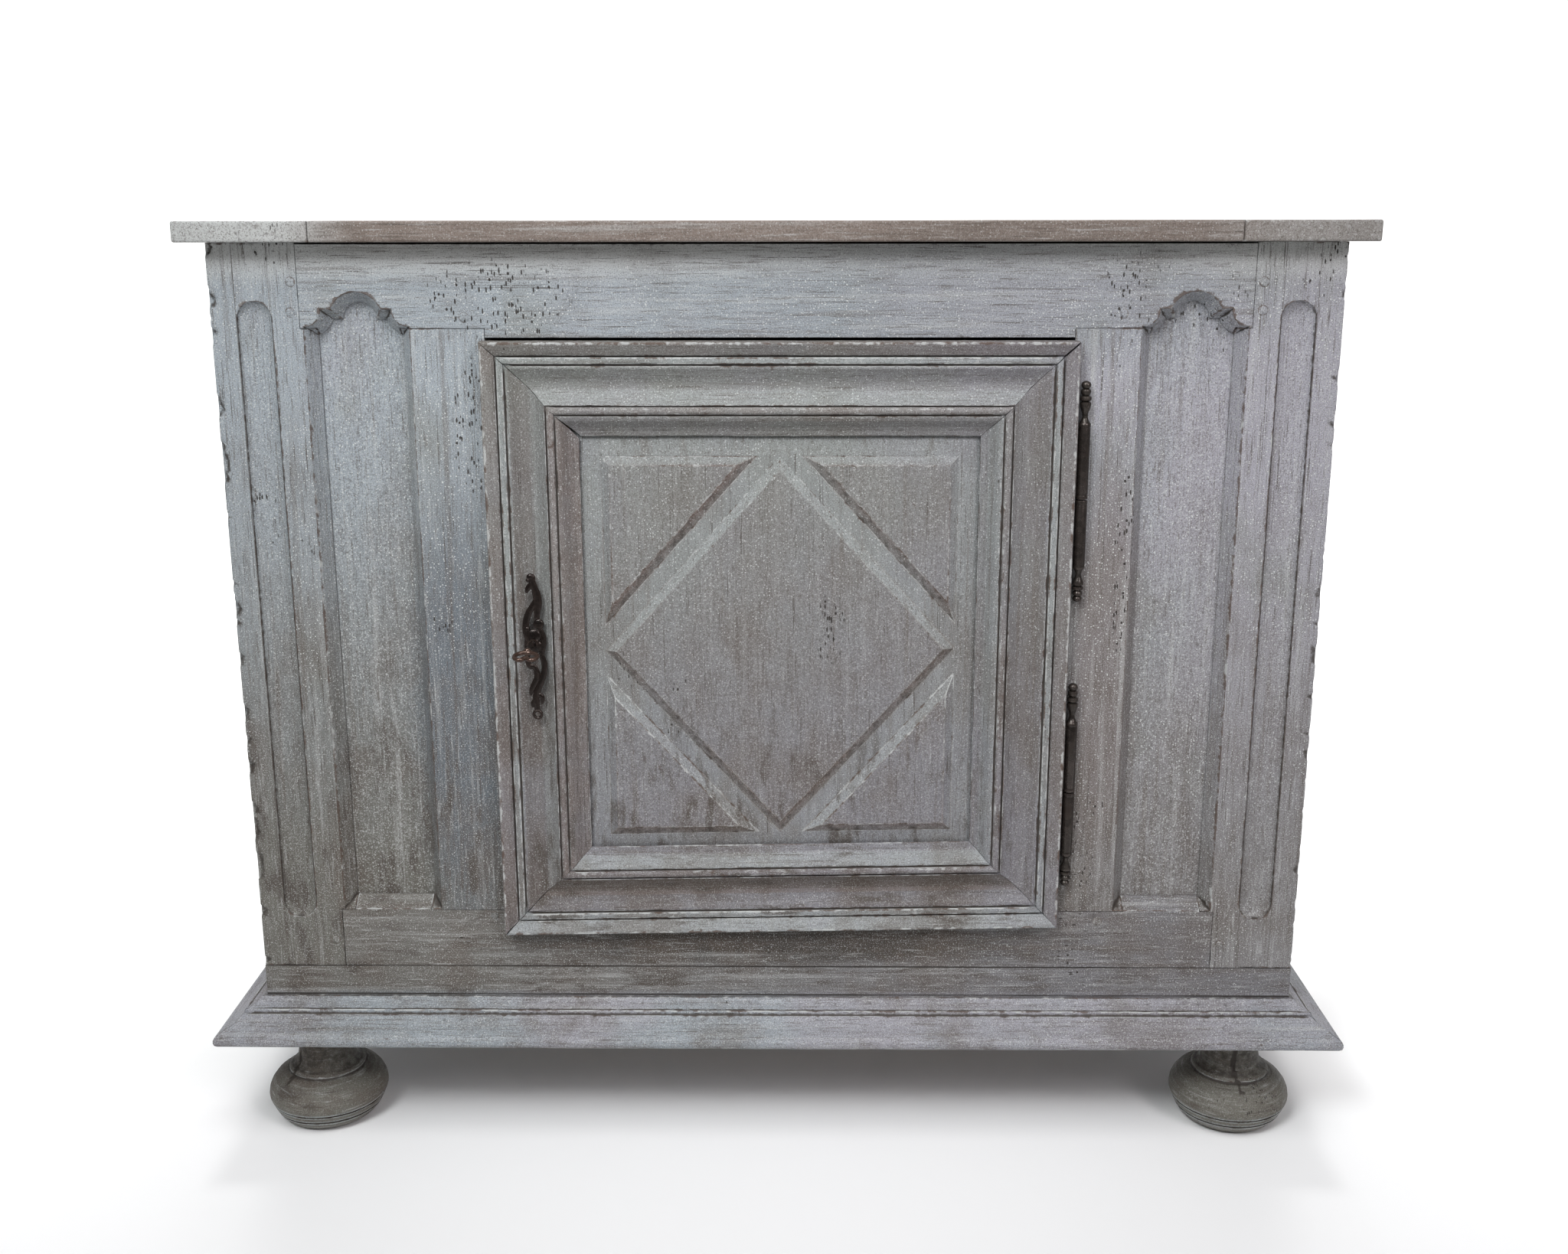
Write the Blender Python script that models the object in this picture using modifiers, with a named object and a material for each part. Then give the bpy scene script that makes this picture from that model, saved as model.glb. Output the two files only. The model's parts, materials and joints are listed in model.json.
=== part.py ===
"""Single-door painted oak buffet: pegged frame, fluted corner stiles, lozenge-panelled door."""

import math

import bmesh
import bpy
from mathutils import Matrix, Vector

# Gaps between pieces
FIT = 0.0003
DOOR_PLAY = 0.003
PIVOT_PLAY = 0.0005
BOLT_PLAY = 0.001
OVERCUT = 0.010

# Carcass
BODY_WIDTH = 1.230
BODY_DEPTH = 0.560
FOOT_HEIGHT = 0.134
BASE_HEIGHT = 0.0835
FRAME_HEIGHT = 0.8455
BASE_BEAM = 0.100

# Top
TOP_THICKNESS = 0.0225
TOP_SIDE_OVERHANG = 0.024
TOP_FRONT_OVERHANG = 0.030
TOP_BACK_OVERHANG = 0.006
TOP_CLEAT_WIDTH = 0.145
TOP_FRONT_PLANK = 0.310
TOP_SHADOW_GAP = 0.002

# Front frame
STILE_FACE = 0.0975
STILE_DEPTH = 0.050
FRAME_THICKNESS = 0.040
TOP_RAIL_HEIGHT = 0.0895
DOOR_HEAD_DROP = 0.010
BOTTOM_RAIL_HEIGHT = 0.072
TENON_LENGTH = 0.022
TENON_THICKNESS = 0.009
TENON_SHOULDER = 0.012
TENON_ROOT = 0.002

# Fixed front panels with a shouldered, arched head
PANEL_EDGE = 0.1010
PANEL_OPENING = 0.116
CHAMFER_RUN = 0.0115
CHAMFER_DEPTH = 0.018
GROOVE_LIP = 0.002
SHOULDER_STEP = 0.0015
TRIM = 0.001
EAR_RADIUS = 0.0195
ARCH_HALF_WIDTH = 0.0275
ARCH_RISE = 0.0185
BOARD_THICKNESS = 0.012
GROOVE_DEPTH = 0.010

# Stopped flutes in the corner stiles
FLUTE_WIDTH = 0.039
FLUTE_DEPTH = 0.0095
FLUTE_INSET = 0.0485
FLUTE_TOP_MARGIN = 0.060
FLUTE_BOTTOM_MARGIN = 0.063

# Sides, back and inside
REAR_STILE_WIDTH = 0.060
SIDE_RAIL_THICKNESS = 0.028
SIDE_RAIL_HEIGHT = 0.100
BACK_RAIL_HEIGHT = 0.090
BACK_BOARDS = ("left", "middle", "right")
FLOOR_THICKNESS = 0.018
SHELF_HEIGHT = 0.340
SHELF_THICKNESS = 0.018
SHELF_SETBACK = 0.022
CLEAT_WIDTH = 0.026
CLEAT_HEIGHT = 0.032

# Base moulding, bun feet
PLINTH_HEIGHT = 0.046
PLINTH_PROJECTION = 0.052
PLINTH_NOSE = 0.006
PLINTH_BOW = 0.0008
FOOT_INSET_X = 0.0525
FOOT_INSET_Y = 0.045
FOOT_RADIUS = 0.0725
FOOT_NECK_RADIUS = 0.034
FOOT_BUN_HEIGHT = 0.064
FOOT_TENON_RADIUS = 0.014
FOOT_TENON_LENGTH = 0.045

# Door
DOOR_SHIFT = 0.0048
JAMB_FACE = 0.0765
DOOR_LIP = 0.004
DOOR_TOP_GAP = 0.0025
DOOR_BOTTOM_LAP = 0.013
DOOR_SAG = 0.0115
DOOR_THICKNESS = 0.024
DOOR_STILE = 0.086
DOOR_BOTTOM_RAIL = 0.068
MOULDING_WIDTH = 0.104
MOULDING_RELIEF = 0.0205
COVE_EDGES = (0.29, 0.65)
PANEL_BORDER = 0.022
PANEL_BORDER_LOW = 0.0145
PANEL_TONGUE = 0.007
PANEL_TONGUE_SETBACK = 0.005
STRAP_WIDTH = 0.018
PLATEAU_RISE = 0.006
PLATEAU_BEVEL = 0.0095

# Hinges
HINGE_RADIUS = 0.0068
HINGE_PIN_RADIUS = 0.003
HINGE_PIN_LENGTH = 0.076
HINGE_FINIAL = 0.044
HINGE_DOOR_LENGTH = 0.131
HINGE_FRAME_LENGTH = 0.116
HINGE_EDGE_GAP = 0.0016
HINGE_STANDOFF = 0.0017
HINGE_LEAF = 0.0024
HINGE_LEAF_HEIGHT = 0.080
HINGE_LEAF_REACH = 0.016
HINGE_LEAF_SETBACK = 0.002
HINGE_JOINTS = {"upper": 0.785, "lower": 0.443}

# Lock and key
KEY_FROM_LIP = 0.0463
KEY_HEIGHT = 0.6216
KEY_RADIUS = 0.0035
KEY_BOW_CENTRE = 0.066
KEY_BOW_HALF_WIDTH = 0.015
KEY_BOW_HALF_LENGTH = 0.012
KEY_BOW_WIRE = 0.0022
KEY_BIT_RADIUS = 0.014
KEY_BIT_LENGTH = 0.007
LOCK_SIZE = 0.086
LOCK_DEPTH = 0.022
LOCK_WALL = 0.0018
BOLT_LENGTH = 0.070
BOLT_HEIGHT = 0.016
BOLT_THICKNESS = 0.007
BOLT_RISE = 0.019
BOLT_TRAVEL = 0.014
STRIKE_THICKNESS = 0.0015
STRIKE_HEIGHT = 0.060
STRIKE_MARGIN = 0.003
ESCUTCHEON_HEIGHT = 0.171
ESCUTCHEON_HALF_WIDTH = 0.017
ESCUTCHEON_THICKNESS = 0.0025
ESCUTCHEON_TUBE_WALL = 0.002
ESCUTCHEON_RISE = 0.0165
ESCUTCHEON_ABOVE_KEY = 0.081

# Worked-out places
HALF = BODY_WIDTH / 2
BASE_TOP = FOOT_HEIGHT + BASE_HEIGHT
TOP_Z = BASE_TOP + FRAME_HEIGHT
RAIL_TOP = TOP_Z - TOP_SHADOW_GAP
HEAD_Z = RAIL_TOP - TOP_RAIL_HEIGHT
SILL_Z = BASE_TOP + BOTTOM_RAIL_HEIGHT
STILE_EDGE = HALF - STILE_FACE
PANEL_OUT = HALF - PANEL_EDGE
PANEL_IN = PANEL_OUT - PANEL_OPENING
PANEL_CENTRE = (PANEL_OUT + PANEL_IN) / 2
DOOR_OPENING = 2 * (PANEL_IN - JAMB_FACE)
SIGHT_OUT = PANEL_OUT - CHAMFER_RUN
SIGHT_IN = PANEL_IN + CHAMFER_RUN
OPENING_LEFT = DOOR_SHIFT - DOOR_OPENING / 2
OPENING_RIGHT = DOOR_SHIFT + DOOR_OPENING / 2
LIP_LEFT = OPENING_LEFT - DOOR_LIP
LIP_RIGHT = OPENING_RIGHT + DOOR_LIP
LIP_TOP = HEAD_Z - DOOR_HEAD_DROP - DOOR_TOP_GAP
LIP_BOTTOM = SILL_Z - DOOR_BOTTOM_LAP
DOOR_LEFT = OPENING_LEFT + DOOR_PLAY
DOOR_RIGHT = OPENING_RIGHT - DOOR_PLAY
DOOR_BOTTOM = SILL_Z + DOOR_PLAY
HINGE_X = LIP_RIGHT + HINGE_EDGE_GAP + HINGE_RADIUS
HINGE_DEPTH = -(HINGE_RADIUS + HINGE_STANDOFF)
KEY_X = LIP_LEFT + KEY_FROM_LIP
KEY_REACH = KEY_BOW_CENTRE + 0.707 * KEY_BOW_HALF_LENGTH + KEY_BOW_WIRE
BACK_REACH = BODY_DEPTH + TOP_BACK_OVERHANG
FACE_Y = (KEY_REACH - BACK_REACH) / 2
REAR_FACE = BODY_DEPTH - STILE_DEPTH
SIDE_IN = HALF - SIDE_RAIL_THICKNESS
SIDE_BOARD = HALF - (SIDE_RAIL_THICKNESS + BOARD_THICKNESS) / 2
BACK_IN = BODY_DEPTH - SIDE_RAIL_THICKNESS
BACK_BOARD = BODY_DEPTH - (SIDE_RAIL_THICKNESS + BOARD_THICKNESS) / 2
SHELF_Z = BASE_TOP + SHELF_HEIGHT
CASE_FRONT = DOOR_THICKNESS + 2 * FIT
BOLT_DEPTH = CASE_FRONT + LOCK_WALL + FIT + BOLT_THICKNESS / 2 + BOLT_PLAY

# Colours from the photograph: red, green, blue, roughness, metallic
PAINT = (0.27, 0.30, 0.31, 0.78, 0.0)
PAINT_LOW = (0.22, 0.22, 0.21, 0.80, 0.0)
PAINT_DOOR = (0.30, 0.31, 0.29, 0.76, 0.0)
WORN_TOP = (0.36, 0.31, 0.25, 0.70, 0.0)
RAW_OAK = (0.26, 0.19, 0.12, 0.82, 0.0)
IRON = (0.06, 0.045, 0.04, 0.50, 0.85)
BRONZE = (0.10, 0.065, 0.045, 0.45, 0.85)


def clear_scene():
    for item in list(bpy.data.objects):
        bpy.data.objects.remove(item, do_unlink=True)


def make_collection(name):
    group = bpy.data.collections.new(name)
    bpy.context.scene.collection.children.link(group)
    return group


def at(x, depth, z):
    """World point from a place measured across, behind the front face and up."""
    return Vector((x, FACE_Y + depth, z))


def add_object(name, mesh, location=(0, 0, 0)):
    item = bpy.data.objects.new(name, mesh)
    item.location = location
    PARTS.objects.link(item)
    return item


def as_cutter(item):
    PARTS.objects.unlink(item)
    CUTTERS.objects.link(item)
    item.hide_render = True
    item.display_type = "WIRE"
    return item


def combine(item, tool, operation):
    if tool.name not in CUTTERS.objects:
        as_cutter(tool)
    modifier = item.modifiers.new(tool.name, "BOOLEAN")
    modifier.operation = operation
    modifier.solver = "EXACT"
    modifier.object = tool
    return item


def cut(item, tool):
    return combine(item, tool, "DIFFERENCE")


def fuse(item, tool):
    return combine(item, tool, "UNION")


def finish(item, colour, smooth=False):
    red, green, blue, roughness, metallic = colour
    material = bpy.data.materials.new(item.name)
    material.use_nodes = True
    shader = material.node_tree.nodes["Principled BSDF"]
    shader.inputs["Base Color"].default_value = (red, green, blue, 1)
    shader.inputs["Roughness"].default_value = roughness
    shader.inputs["Metallic"].default_value = metallic
    item.data.materials.clear()
    item.data.materials.append(material)
    if smooth:
        item.data.shade_smooth()
        item.data.set_sharp_from_angle(angle=math.radians(35))
    return item


def block(name, low, high):
    """Squared timber between two corners given as across, depth, height."""
    low = at(*low)
    high = at(*high)
    mesh = bpy.data.meshes.new(name)
    shape = bmesh.new()
    bmesh.ops.create_cube(shape, size=1, matrix=Matrix.Diagonal((*(high - low), 1)))
    shape.to_mesh(mesh)
    shape.free()
    return add_object(name, mesh, (low + high) / 2)


def plate(name, outline, low, high, flat=False):
    """Board sawn to an outline: upright between two depths, or flat between two heights."""
    curve = bpy.data.curves.new(name, "CURVE")
    curve.dimensions = "2D"
    curve.fill_mode = "BOTH"
    curve.extrude = (high - low) / 2
    spline = curve.splines.new("POLY")
    spline.points.add(len(outline) - 1)
    spline.use_cyclic_u = True
    for point, (across, up) in zip(spline.points, outline):
        point.co = (across, up, 0, 1)
    guide = bpy.data.objects.new(name, curve)
    PARTS.objects.link(guide)
    if flat:
        guide.location = at(0, 0, (low + high) / 2)
    else:
        guide.location = at(0, (low + high) / 2, 0)
        guide.rotation_euler = (math.pi / 2, 0, 0)
    return curve_to_mesh(guide)


def curve_to_mesh(guide):
    """Solid mesh of a curve, its loose caps welded to its walls and made one face each."""
    bpy.context.view_layer.update()
    graph = bpy.context.evaluated_depsgraph_get()
    mesh = bpy.data.meshes.new_from_object(guide.evaluated_get(graph))
    shape = bmesh.new()
    shape.from_mesh(mesh)
    bmesh.ops.remove_doubles(shape, verts=shape.verts, dist=1e-6)
    bmesh.ops.dissolve_limit(shape, angle_limit=0.001, verts=shape.verts, edges=shape.edges)
    bmesh.ops.recalc_face_normals(shape, faces=shape.faces)
    shape.to_mesh(mesh)
    shape.free()
    name = guide.name
    matrix = guide.matrix_world.copy()
    bpy.data.objects.remove(guide, do_unlink=True)
    item = add_object(name, mesh)
    item.matrix_world = matrix
    return item


def loft(name, rings):
    """Closed solid through matching rings of points, first and last ring capped."""
    shape = bmesh.new()
    rows = [[shape.verts.new(point) for point in ring] for ring in rings]
    count = len(rows[0])
    shape.faces.new(rows[0])
    shape.faces.new(rows[-1])
    for first, second in zip(rows, rows[1:]):
        for i in range(count):
            j = (i + 1) % count
            shape.faces.new((first[i], first[j], second[j], second[i]))
    bmesh.ops.triangulate(shape, faces=shape.faces)
    bmesh.ops.recalc_face_normals(shape, faces=shape.faces)
    mesh = bpy.data.meshes.new(name)
    shape.to_mesh(mesh)
    shape.free()
    return add_object(name, mesh)


def turned(name, profile, location, steps=20):
    """Solid of revolution about Z from radius and height pairs, top to bottom."""
    mesh = bpy.data.meshes.new(name)
    points = [(radius, 0, height) for radius, height in profile]
    mesh.from_pydata(points, [(i, i + 1) for i in range(len(points) - 1)], [])
    item = add_object(name, mesh, location)
    screw = item.modifiers.new("turning", "SCREW")
    screw.steps = steps
    screw.render_steps = steps
    screw.use_merge_vertices = True
    screw.merge_threshold = 0.00001
    return item


def rod(name, radius, low, high, steps=16):
    """Round bar between two points."""
    axis = high - low
    half = axis.length / 2
    profile = ((0, half), (radius, half), (radius, -half), (0, -half))
    item = turned(name, profile, (low + high) / 2, steps)
    item.rotation_mode = "QUATERNION"
    item.rotation_quaternion = axis.to_track_quat("Z", "Y")
    return item


def arc(centre, radius, start, end, count):
    """Points on an arc, angles in degrees."""
    points = []
    for i in range(count + 1):
        angle = math.radians(start + (end - start) * i / count)
        points.append((centre[0] + radius * math.cos(angle), centre[1] + radius * math.sin(angle)))
    return points


def grown(low, high, margin):
    return [value - margin for value in low], [value + margin for value in high]


def tenon(piece, host, low, high):
    """Tongue added to one piece and its mortise cut in the other."""
    fuse(piece, block(piece.name + "_tenon", low, high))
    cut(host, block(host.name + "_mortise", *grown(low, high, FIT)))


def side_name(sign):
    return "left" if sign < 0 else "right"


def spread(first, second):
    return min(first, second), max(first, second)


def arched_outline(centre, inset):
    """Opening of a fixed panel, drawn in by an inset, anticlockwise from the bottom left."""
    half = PANEL_OPENING / 2
    ear_z = HEAD_Z + SHOULDER_STEP + EAR_RADIUS
    ear = EAR_RADIUS + inset
    arch = (ARCH_HALF_WIDTH ** 2 + ARCH_RISE ** 2) / (2 * ARCH_RISE)
    arch_z = ear_z + ARCH_RISE - arch
    step_z = ear_z - inset
    swing = math.degrees(math.asin(inset / ear))
    spring = math.degrees(math.asin((step_z - arch_z) / (arch - inset)))
    right = arc((half, ear_z), ear, 270 - swing, 180 + swing, 5)
    crown = arc((0, arch_z), arch - inset, spring, 180 - spring, 10)
    left = [(-x, z) for x, z in reversed(right)]
    foot = SILL_Z + SHOULDER_STEP + inset
    points = [(inset - half, foot), (half - inset, foot)] + right + crown + left
    return [(centre + x, z) for x, z in points]


def panel_opening(sign):
    """Chamfered opening cut through the stile, jamb and rails round a fixed panel."""
    slope = CHAMFER_RUN / CHAMFER_DEPTH
    lead = 0.004
    levels = ((-lead, -lead * slope), (CHAMFER_DEPTH, CHAMFER_RUN), (STILE_DEPTH + lead, CHAMFER_RUN))
    rings = []
    for depth, inset in levels:
        rings.append([at(x, depth, z) for x, z in arched_outline(sign * PANEL_CENTRE, inset)])
    return as_cutter(loft("opening_" + side_name(sign), rings))


def panel_corners(sign, margin):
    """Corners of a fixed panel's board, grown by a margin for its grooves."""
    low_x, high_x = spread(sign * (SIGHT_IN - GROOVE_DEPTH), sign * (SIGHT_OUT + GROOVE_DEPTH))
    low_z = SILL_Z + SHOULDER_STEP + CHAMFER_RUN - GROOVE_DEPTH
    high_z = HEAD_Z + SHOULDER_STEP + EAR_RADIUS + ARCH_RISE + GROOVE_DEPTH
    front = CHAMFER_DEPTH + GROOVE_LIP + FIT
    low = (low_x + FIT, front, low_z + FIT)
    high = (high_x - FIT, front + BOARD_THICKNESS, high_z - FIT)
    return grown(low, high, margin)


def flute(sign):
    """Round-ended hollow with a scooped section, its axis just proud of the face."""
    radius = FLUTE_WIDTH / 2
    top = RAIL_TOP - FLUTE_TOP_MARGIN
    bottom = BASE_TOP + FLUTE_BOTTOM_MARGIN
    middle = (top + bottom) / 2
    reach = (top - bottom) / 2 - radius
    upper = arc((0, reach), radius, 90, 0, 6)
    lower = arc((0, -reach), radius, 0, -90, 6)
    upper[0] = (0, reach + radius)
    lower[-1] = (0, -reach - radius)
    place = at(sign * (HALF - FLUTE_INSET), -2 * FIT, middle)
    item = turned("flute_" + side_name(sign), upper + lower, place, 24)
    item.scale = (1, FLUTE_DEPTH / radius, 1)
    return item


def front_stile(sign, opening):
    edge = STILE_EDGE
    lip = SIGHT_OUT - TRIM
    outline = [
        (HALF, BASE_TOP + FIT), (HALF, TOP_Z - FIT), (edge, TOP_Z - FIT), (edge, HEAD_Z - FIT),
        (lip, HEAD_Z - FIT), (lip, SILL_Z + FIT), (edge, SILL_Z + FIT), (edge, BASE_TOP + FIT),
    ]
    item = plate("front_stile_" + side_name(sign), [(sign * x, z) for x, z in outline], 0, STILE_DEPTH)
    cut(item, opening)
    cut(item, block("stile_groove", *panel_corners(sign, FIT)))
    cut(item, flute(sign))
    return finish(item, PAINT)


def front_rails(openings):
    """Top and bottom rails, with tongues scribed over the panel chamfers."""
    shoulder = STILE_EDGE - FIT
    back = FRAME_THICKNESS
    root = TENON_SHOULDER / 2
    top = block("front_top_rail", (-shoulder, 0, HEAD_Z), (shoulder, back, RAIL_TOP))
    bottom = block("front_bottom_rail", (-shoulder, 0, BASE_TOP + FIT), (shoulder, back, SILL_Z))
    low = (OPENING_LEFT + FIT, 0, HEAD_Z - DOOR_HEAD_DROP)
    fuse(top, block("door_head", low, (OPENING_RIGHT - FIT, back, HEAD_Z + root)))
    crest = SILL_Z + SHOULDER_STEP + CHAMFER_RUN + TRIM
    for sign in (-1, 1):
        low_x, high_x = spread(sign * (SIGHT_IN + TRIM + FIT), sign * (SIGHT_OUT - TRIM - FIT))
        scribe = block("head_scribe", (low_x, 0, HEAD_Z - CHAMFER_RUN), (high_x, back, HEAD_Z + root))
        fuse(top, scribe)
        fuse(bottom, block("sill_scribe", (low_x, 0, SILL_Z - root), (high_x, back, crest)))
        for rail in (top, bottom):
            cut(rail, openings[sign])
            cut(rail, block("rail_groove", *panel_corners(sign, FIT)))
    return finish(top, PAINT), finish(bottom, PAINT_LOW)


def jamb(name, sign, inner, opening):
    low_x, high_x = spread(inner, sign * (SIGHT_IN + TRIM))
    item = block(name, (low_x, 0, SILL_Z + FIT), (high_x, FRAME_THICKNESS, HEAD_Z - FIT))
    cut(item, opening)
    cut(item, block("jamb_groove", *panel_corners(sign, FIT)))
    return finish(item, PAINT)


def pin_front_frame(stiles, jambs, top, bottom):
    """Mortise-and-tenon joints of the front frame."""
    middle = FRAME_THICKNESS - TENON_THICKNESS / 2 - FIT
    near = middle - TENON_THICKNESS / 2
    far = middle + TENON_THICKNESS / 2 - TRIM
    for sign in (-1, 1):
        low_x, high_x = spread(sign * (STILE_EDGE - TENON_ROOT), sign * (STILE_EDGE + TENON_LENGTH))
        span = HEAD_Z + EAR_RADIUS + TENON_SHOULDER, RAIL_TOP - TENON_SHOULDER
        tenon(top, stiles[sign], (low_x, near, span[0]), (high_x, far, span[1]))
        span = BASE_TOP + TENON_SHOULDER, SILL_Z - TENON_SHOULDER
        tenon(bottom, stiles[sign], (low_x, near, span[0]), (high_x, far, span[1]))
        edge = OPENING_LEFT if sign < 0 else OPENING_RIGHT
        low_x, high_x = spread(edge + sign * TENON_SHOULDER, sign * (PANEL_IN - TENON_SHOULDER))
        tenon(jambs[sign], top, (low_x, near, HEAD_Z - TENON_ROOT), (high_x, far, HEAD_Z + TENON_LENGTH))
        tenon(jambs[sign], bottom, (low_x, near, SILL_Z - TENON_LENGTH), (high_x, far, SILL_Z + TENON_ROOT))


def side_frame(sign, front):
    """Rear stile, side rails and side panel on one side."""
    name = side_name(sign)
    low_x, high_x = spread(sign * (HALF - REAR_STILE_WIDTH), sign * HALF)
    rear = block("rear_stile_" + name, (low_x, REAR_FACE, BASE_TOP + FIT), (high_x, BODY_DEPTH, TOP_Z - FIT))
    low_x, high_x = spread(sign * SIDE_IN, sign * HALF)
    spans = {
        "top": (RAIL_TOP - SIDE_RAIL_HEIGHT, RAIL_TOP),
        "bottom": (BASE_TOP + FIT, BASE_TOP + SIDE_RAIL_HEIGHT),
    }
    near_x, far_x = spread(
        sign * (SIDE_BOARD - TENON_THICKNESS / 2), sign * (SIDE_BOARD + TENON_THICKNESS / 2)
    )
    board_x = spread(sign * (SIDE_BOARD - BOARD_THICKNESS / 2), sign * (SIDE_BOARD + BOARD_THICKNESS / 2))
    low = (board_x[0], STILE_DEPTH - GROOVE_DEPTH, spans["bottom"][1] - GROOVE_DEPTH)
    high = (board_x[1], REAR_FACE + GROOVE_DEPTH, spans["top"][0] + GROOVE_DEPTH)
    for level, (low_z, high_z) in spans.items():
        rail = block(
            f"side_{level}_rail_{name}",
            (low_x, STILE_DEPTH + FIT, low_z), (high_x, REAR_FACE - FIT, high_z),
        )
        cut(rail, block("side_groove", *grown(low, high, FIT)))
        tongue = (low_z + 2 * TENON_SHOULDER, high_z - 2 * TENON_SHOULDER)
        tenon(
            rail, front,
            (near_x, STILE_DEPTH - TENON_LENGTH, tongue[0]), (far_x, STILE_DEPTH + TENON_ROOT, tongue[1]),
        )
        tenon(
            rail, rear,
            (near_x, REAR_FACE - TENON_ROOT, tongue[0]), (far_x, REAR_FACE + TENON_LENGTH, tongue[1]),
        )
        finish(rail, PAINT if level == "top" else PAINT_LOW)
    for stile in (front, rear):
        cut(stile, block("side_groove", *grown(low, high, FIT)))
    finish(block("side_panel_" + name, low, high), PAINT)
    return finish(rear, PAINT)


def back_frame(rears):
    """Two rails and three upright boards between the rear stiles."""
    inner = HALF - REAR_STILE_WIDTH
    spans = {
        "top": (RAIL_TOP - BACK_RAIL_HEIGHT, RAIL_TOP),
        "bottom": (BASE_TOP + FIT, BASE_TOP + BACK_RAIL_HEIGHT),
    }
    near = BACK_BOARD - BOARD_THICKNESS / 2
    far = BACK_BOARD + BOARD_THICKNESS / 2
    low = (-inner - GROOVE_DEPTH, near, spans["bottom"][1] - GROOVE_DEPTH)
    high = (inner + GROOVE_DEPTH, far, spans["top"][0] + GROOVE_DEPTH)
    for level, (low_z, high_z) in spans.items():
        rail = block(f"back_{level}_rail", (FIT - inner, BACK_IN, low_z), (inner - FIT, BODY_DEPTH, high_z))
        cut(rail, block("back_groove", *grown(low, high, FIT)))
        tongue = (low_z + 2 * TENON_SHOULDER, high_z - 2 * TENON_SHOULDER)
        for sign in (-1, 1):
            low_x, high_x = spread(sign * (inner - TENON_ROOT), sign * (inner + TENON_LENGTH))
            tenon(rail, rears[sign], (low_x, near + TRIM, tongue[0]), (high_x, far - TRIM, tongue[1]))
        finish(rail, RAW_OAK)
    for stile in rears.values():
        cut(stile, block("back_groove", *grown(low, high, FIT)))
    width = (high[0] - low[0]) / len(BACK_BOARDS)
    for i, name in enumerate(BACK_BOARDS):
        left = low[0] + i * width + (FIT / 2 if i else 0)
        right = low[0] + (i + 1) * width - (FIT / 2 if i < len(BACK_BOARDS) - 1 else 0)
        finish(block("back_board_" + name, (left, near, low[2]), (right, far, high[2])), RAW_OAK)


def base_frame():
    """Four beams that carry the carcass, with round mortises for the feet."""
    beams = {}
    for name, low, high in (("front", 0, BASE_BEAM), ("rear", BODY_DEPTH - BASE_BEAM, BODY_DEPTH)):
        beams[name] = block("base_frame_" + name, (-HALF, low, FOOT_HEIGHT), (HALF, high, BASE_TOP))
    middle_z = (FOOT_HEIGHT + BASE_TOP) / 2
    for sign in (-1, 1):
        low_x, high_x = spread(sign * (HALF - BASE_BEAM), sign * HALF)
        beam = block(
            "base_frame_" + side_name(sign),
            (low_x, BASE_BEAM + FIT, FOOT_HEIGHT), (high_x, BODY_DEPTH - BASE_BEAM - FIT, BASE_TOP),
        )
        near_x, far_x = spread(sign * (HALF - BASE_BEAM + TENON_SHOULDER), sign * (HALF - 2 * TENON_SHOULDER))
        low_z = middle_z - TENON_THICKNESS
        high_z = middle_z + TENON_THICKNESS
        rear_edge = BODY_DEPTH - BASE_BEAM
        tenon(
            beam, beams["front"],
            (near_x, BASE_BEAM - TENON_THICKNESS, low_z), (far_x, BASE_BEAM + TENON_ROOT, high_z),
        )
        tenon(
            beam, beams["rear"],
            (near_x, rear_edge - TENON_ROOT, low_z), (far_x, rear_edge + TENON_THICKNESS, high_z),
        )
        finish(beam, PAINT_LOW)
    for beam in beams.values():
        finish(beam, PAINT_LOW)
    return beams


def foot(name, x, depth, beam):
    """Turned bun foot with a ringed neck, two incised lines and a tenon."""
    bun = FOOT_BUN_HEIGHT
    neck = FOOT_NECK_RADIUS
    wide = FOOT_RADIUS
    ring = neck + 0.010
    top = FOOT_HEIGHT - FIT
    profile = [(0, top + FOOT_TENON_LENGTH), (FOOT_TENON_RADIUS, top + FOOT_TENON_LENGTH)]
    profile += [(FOOT_TENON_RADIUS, top), (neck, top), (neck, bun + 0.012)]
    profile += [(neck + 0.004, bun + 0.007), (ring, bun + 0.004), (ring, bun)]
    profile += [(wide - 0.012, bun - 0.010), (wide - 0.002, bun * 0.66), (wide, bun * 0.52)]
    profile += [(wide - 0.003, bun * 0.40), (wide - 0.005, bun * 0.38), (wide - 0.010, bun * 0.22)]
    profile += [(wide - 0.020, bun * 0.06), (wide - 0.026, 0), (0, 0)]
    place = at(x, depth, 0)
    finish(turned("foot_" + name, profile, place, 24), PAINT_LOW, smooth=True)
    radius = FOOT_TENON_RADIUS + FIT
    up = Vector((0, 0, FOOT_HEIGHT + FOOT_TENON_LENGTH + FIT))
    cut(beam, rod("foot_mortise", radius, place + Vector((0, 0, FOOT_HEIGHT - OVERCUT)), place + up, 24))


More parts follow.
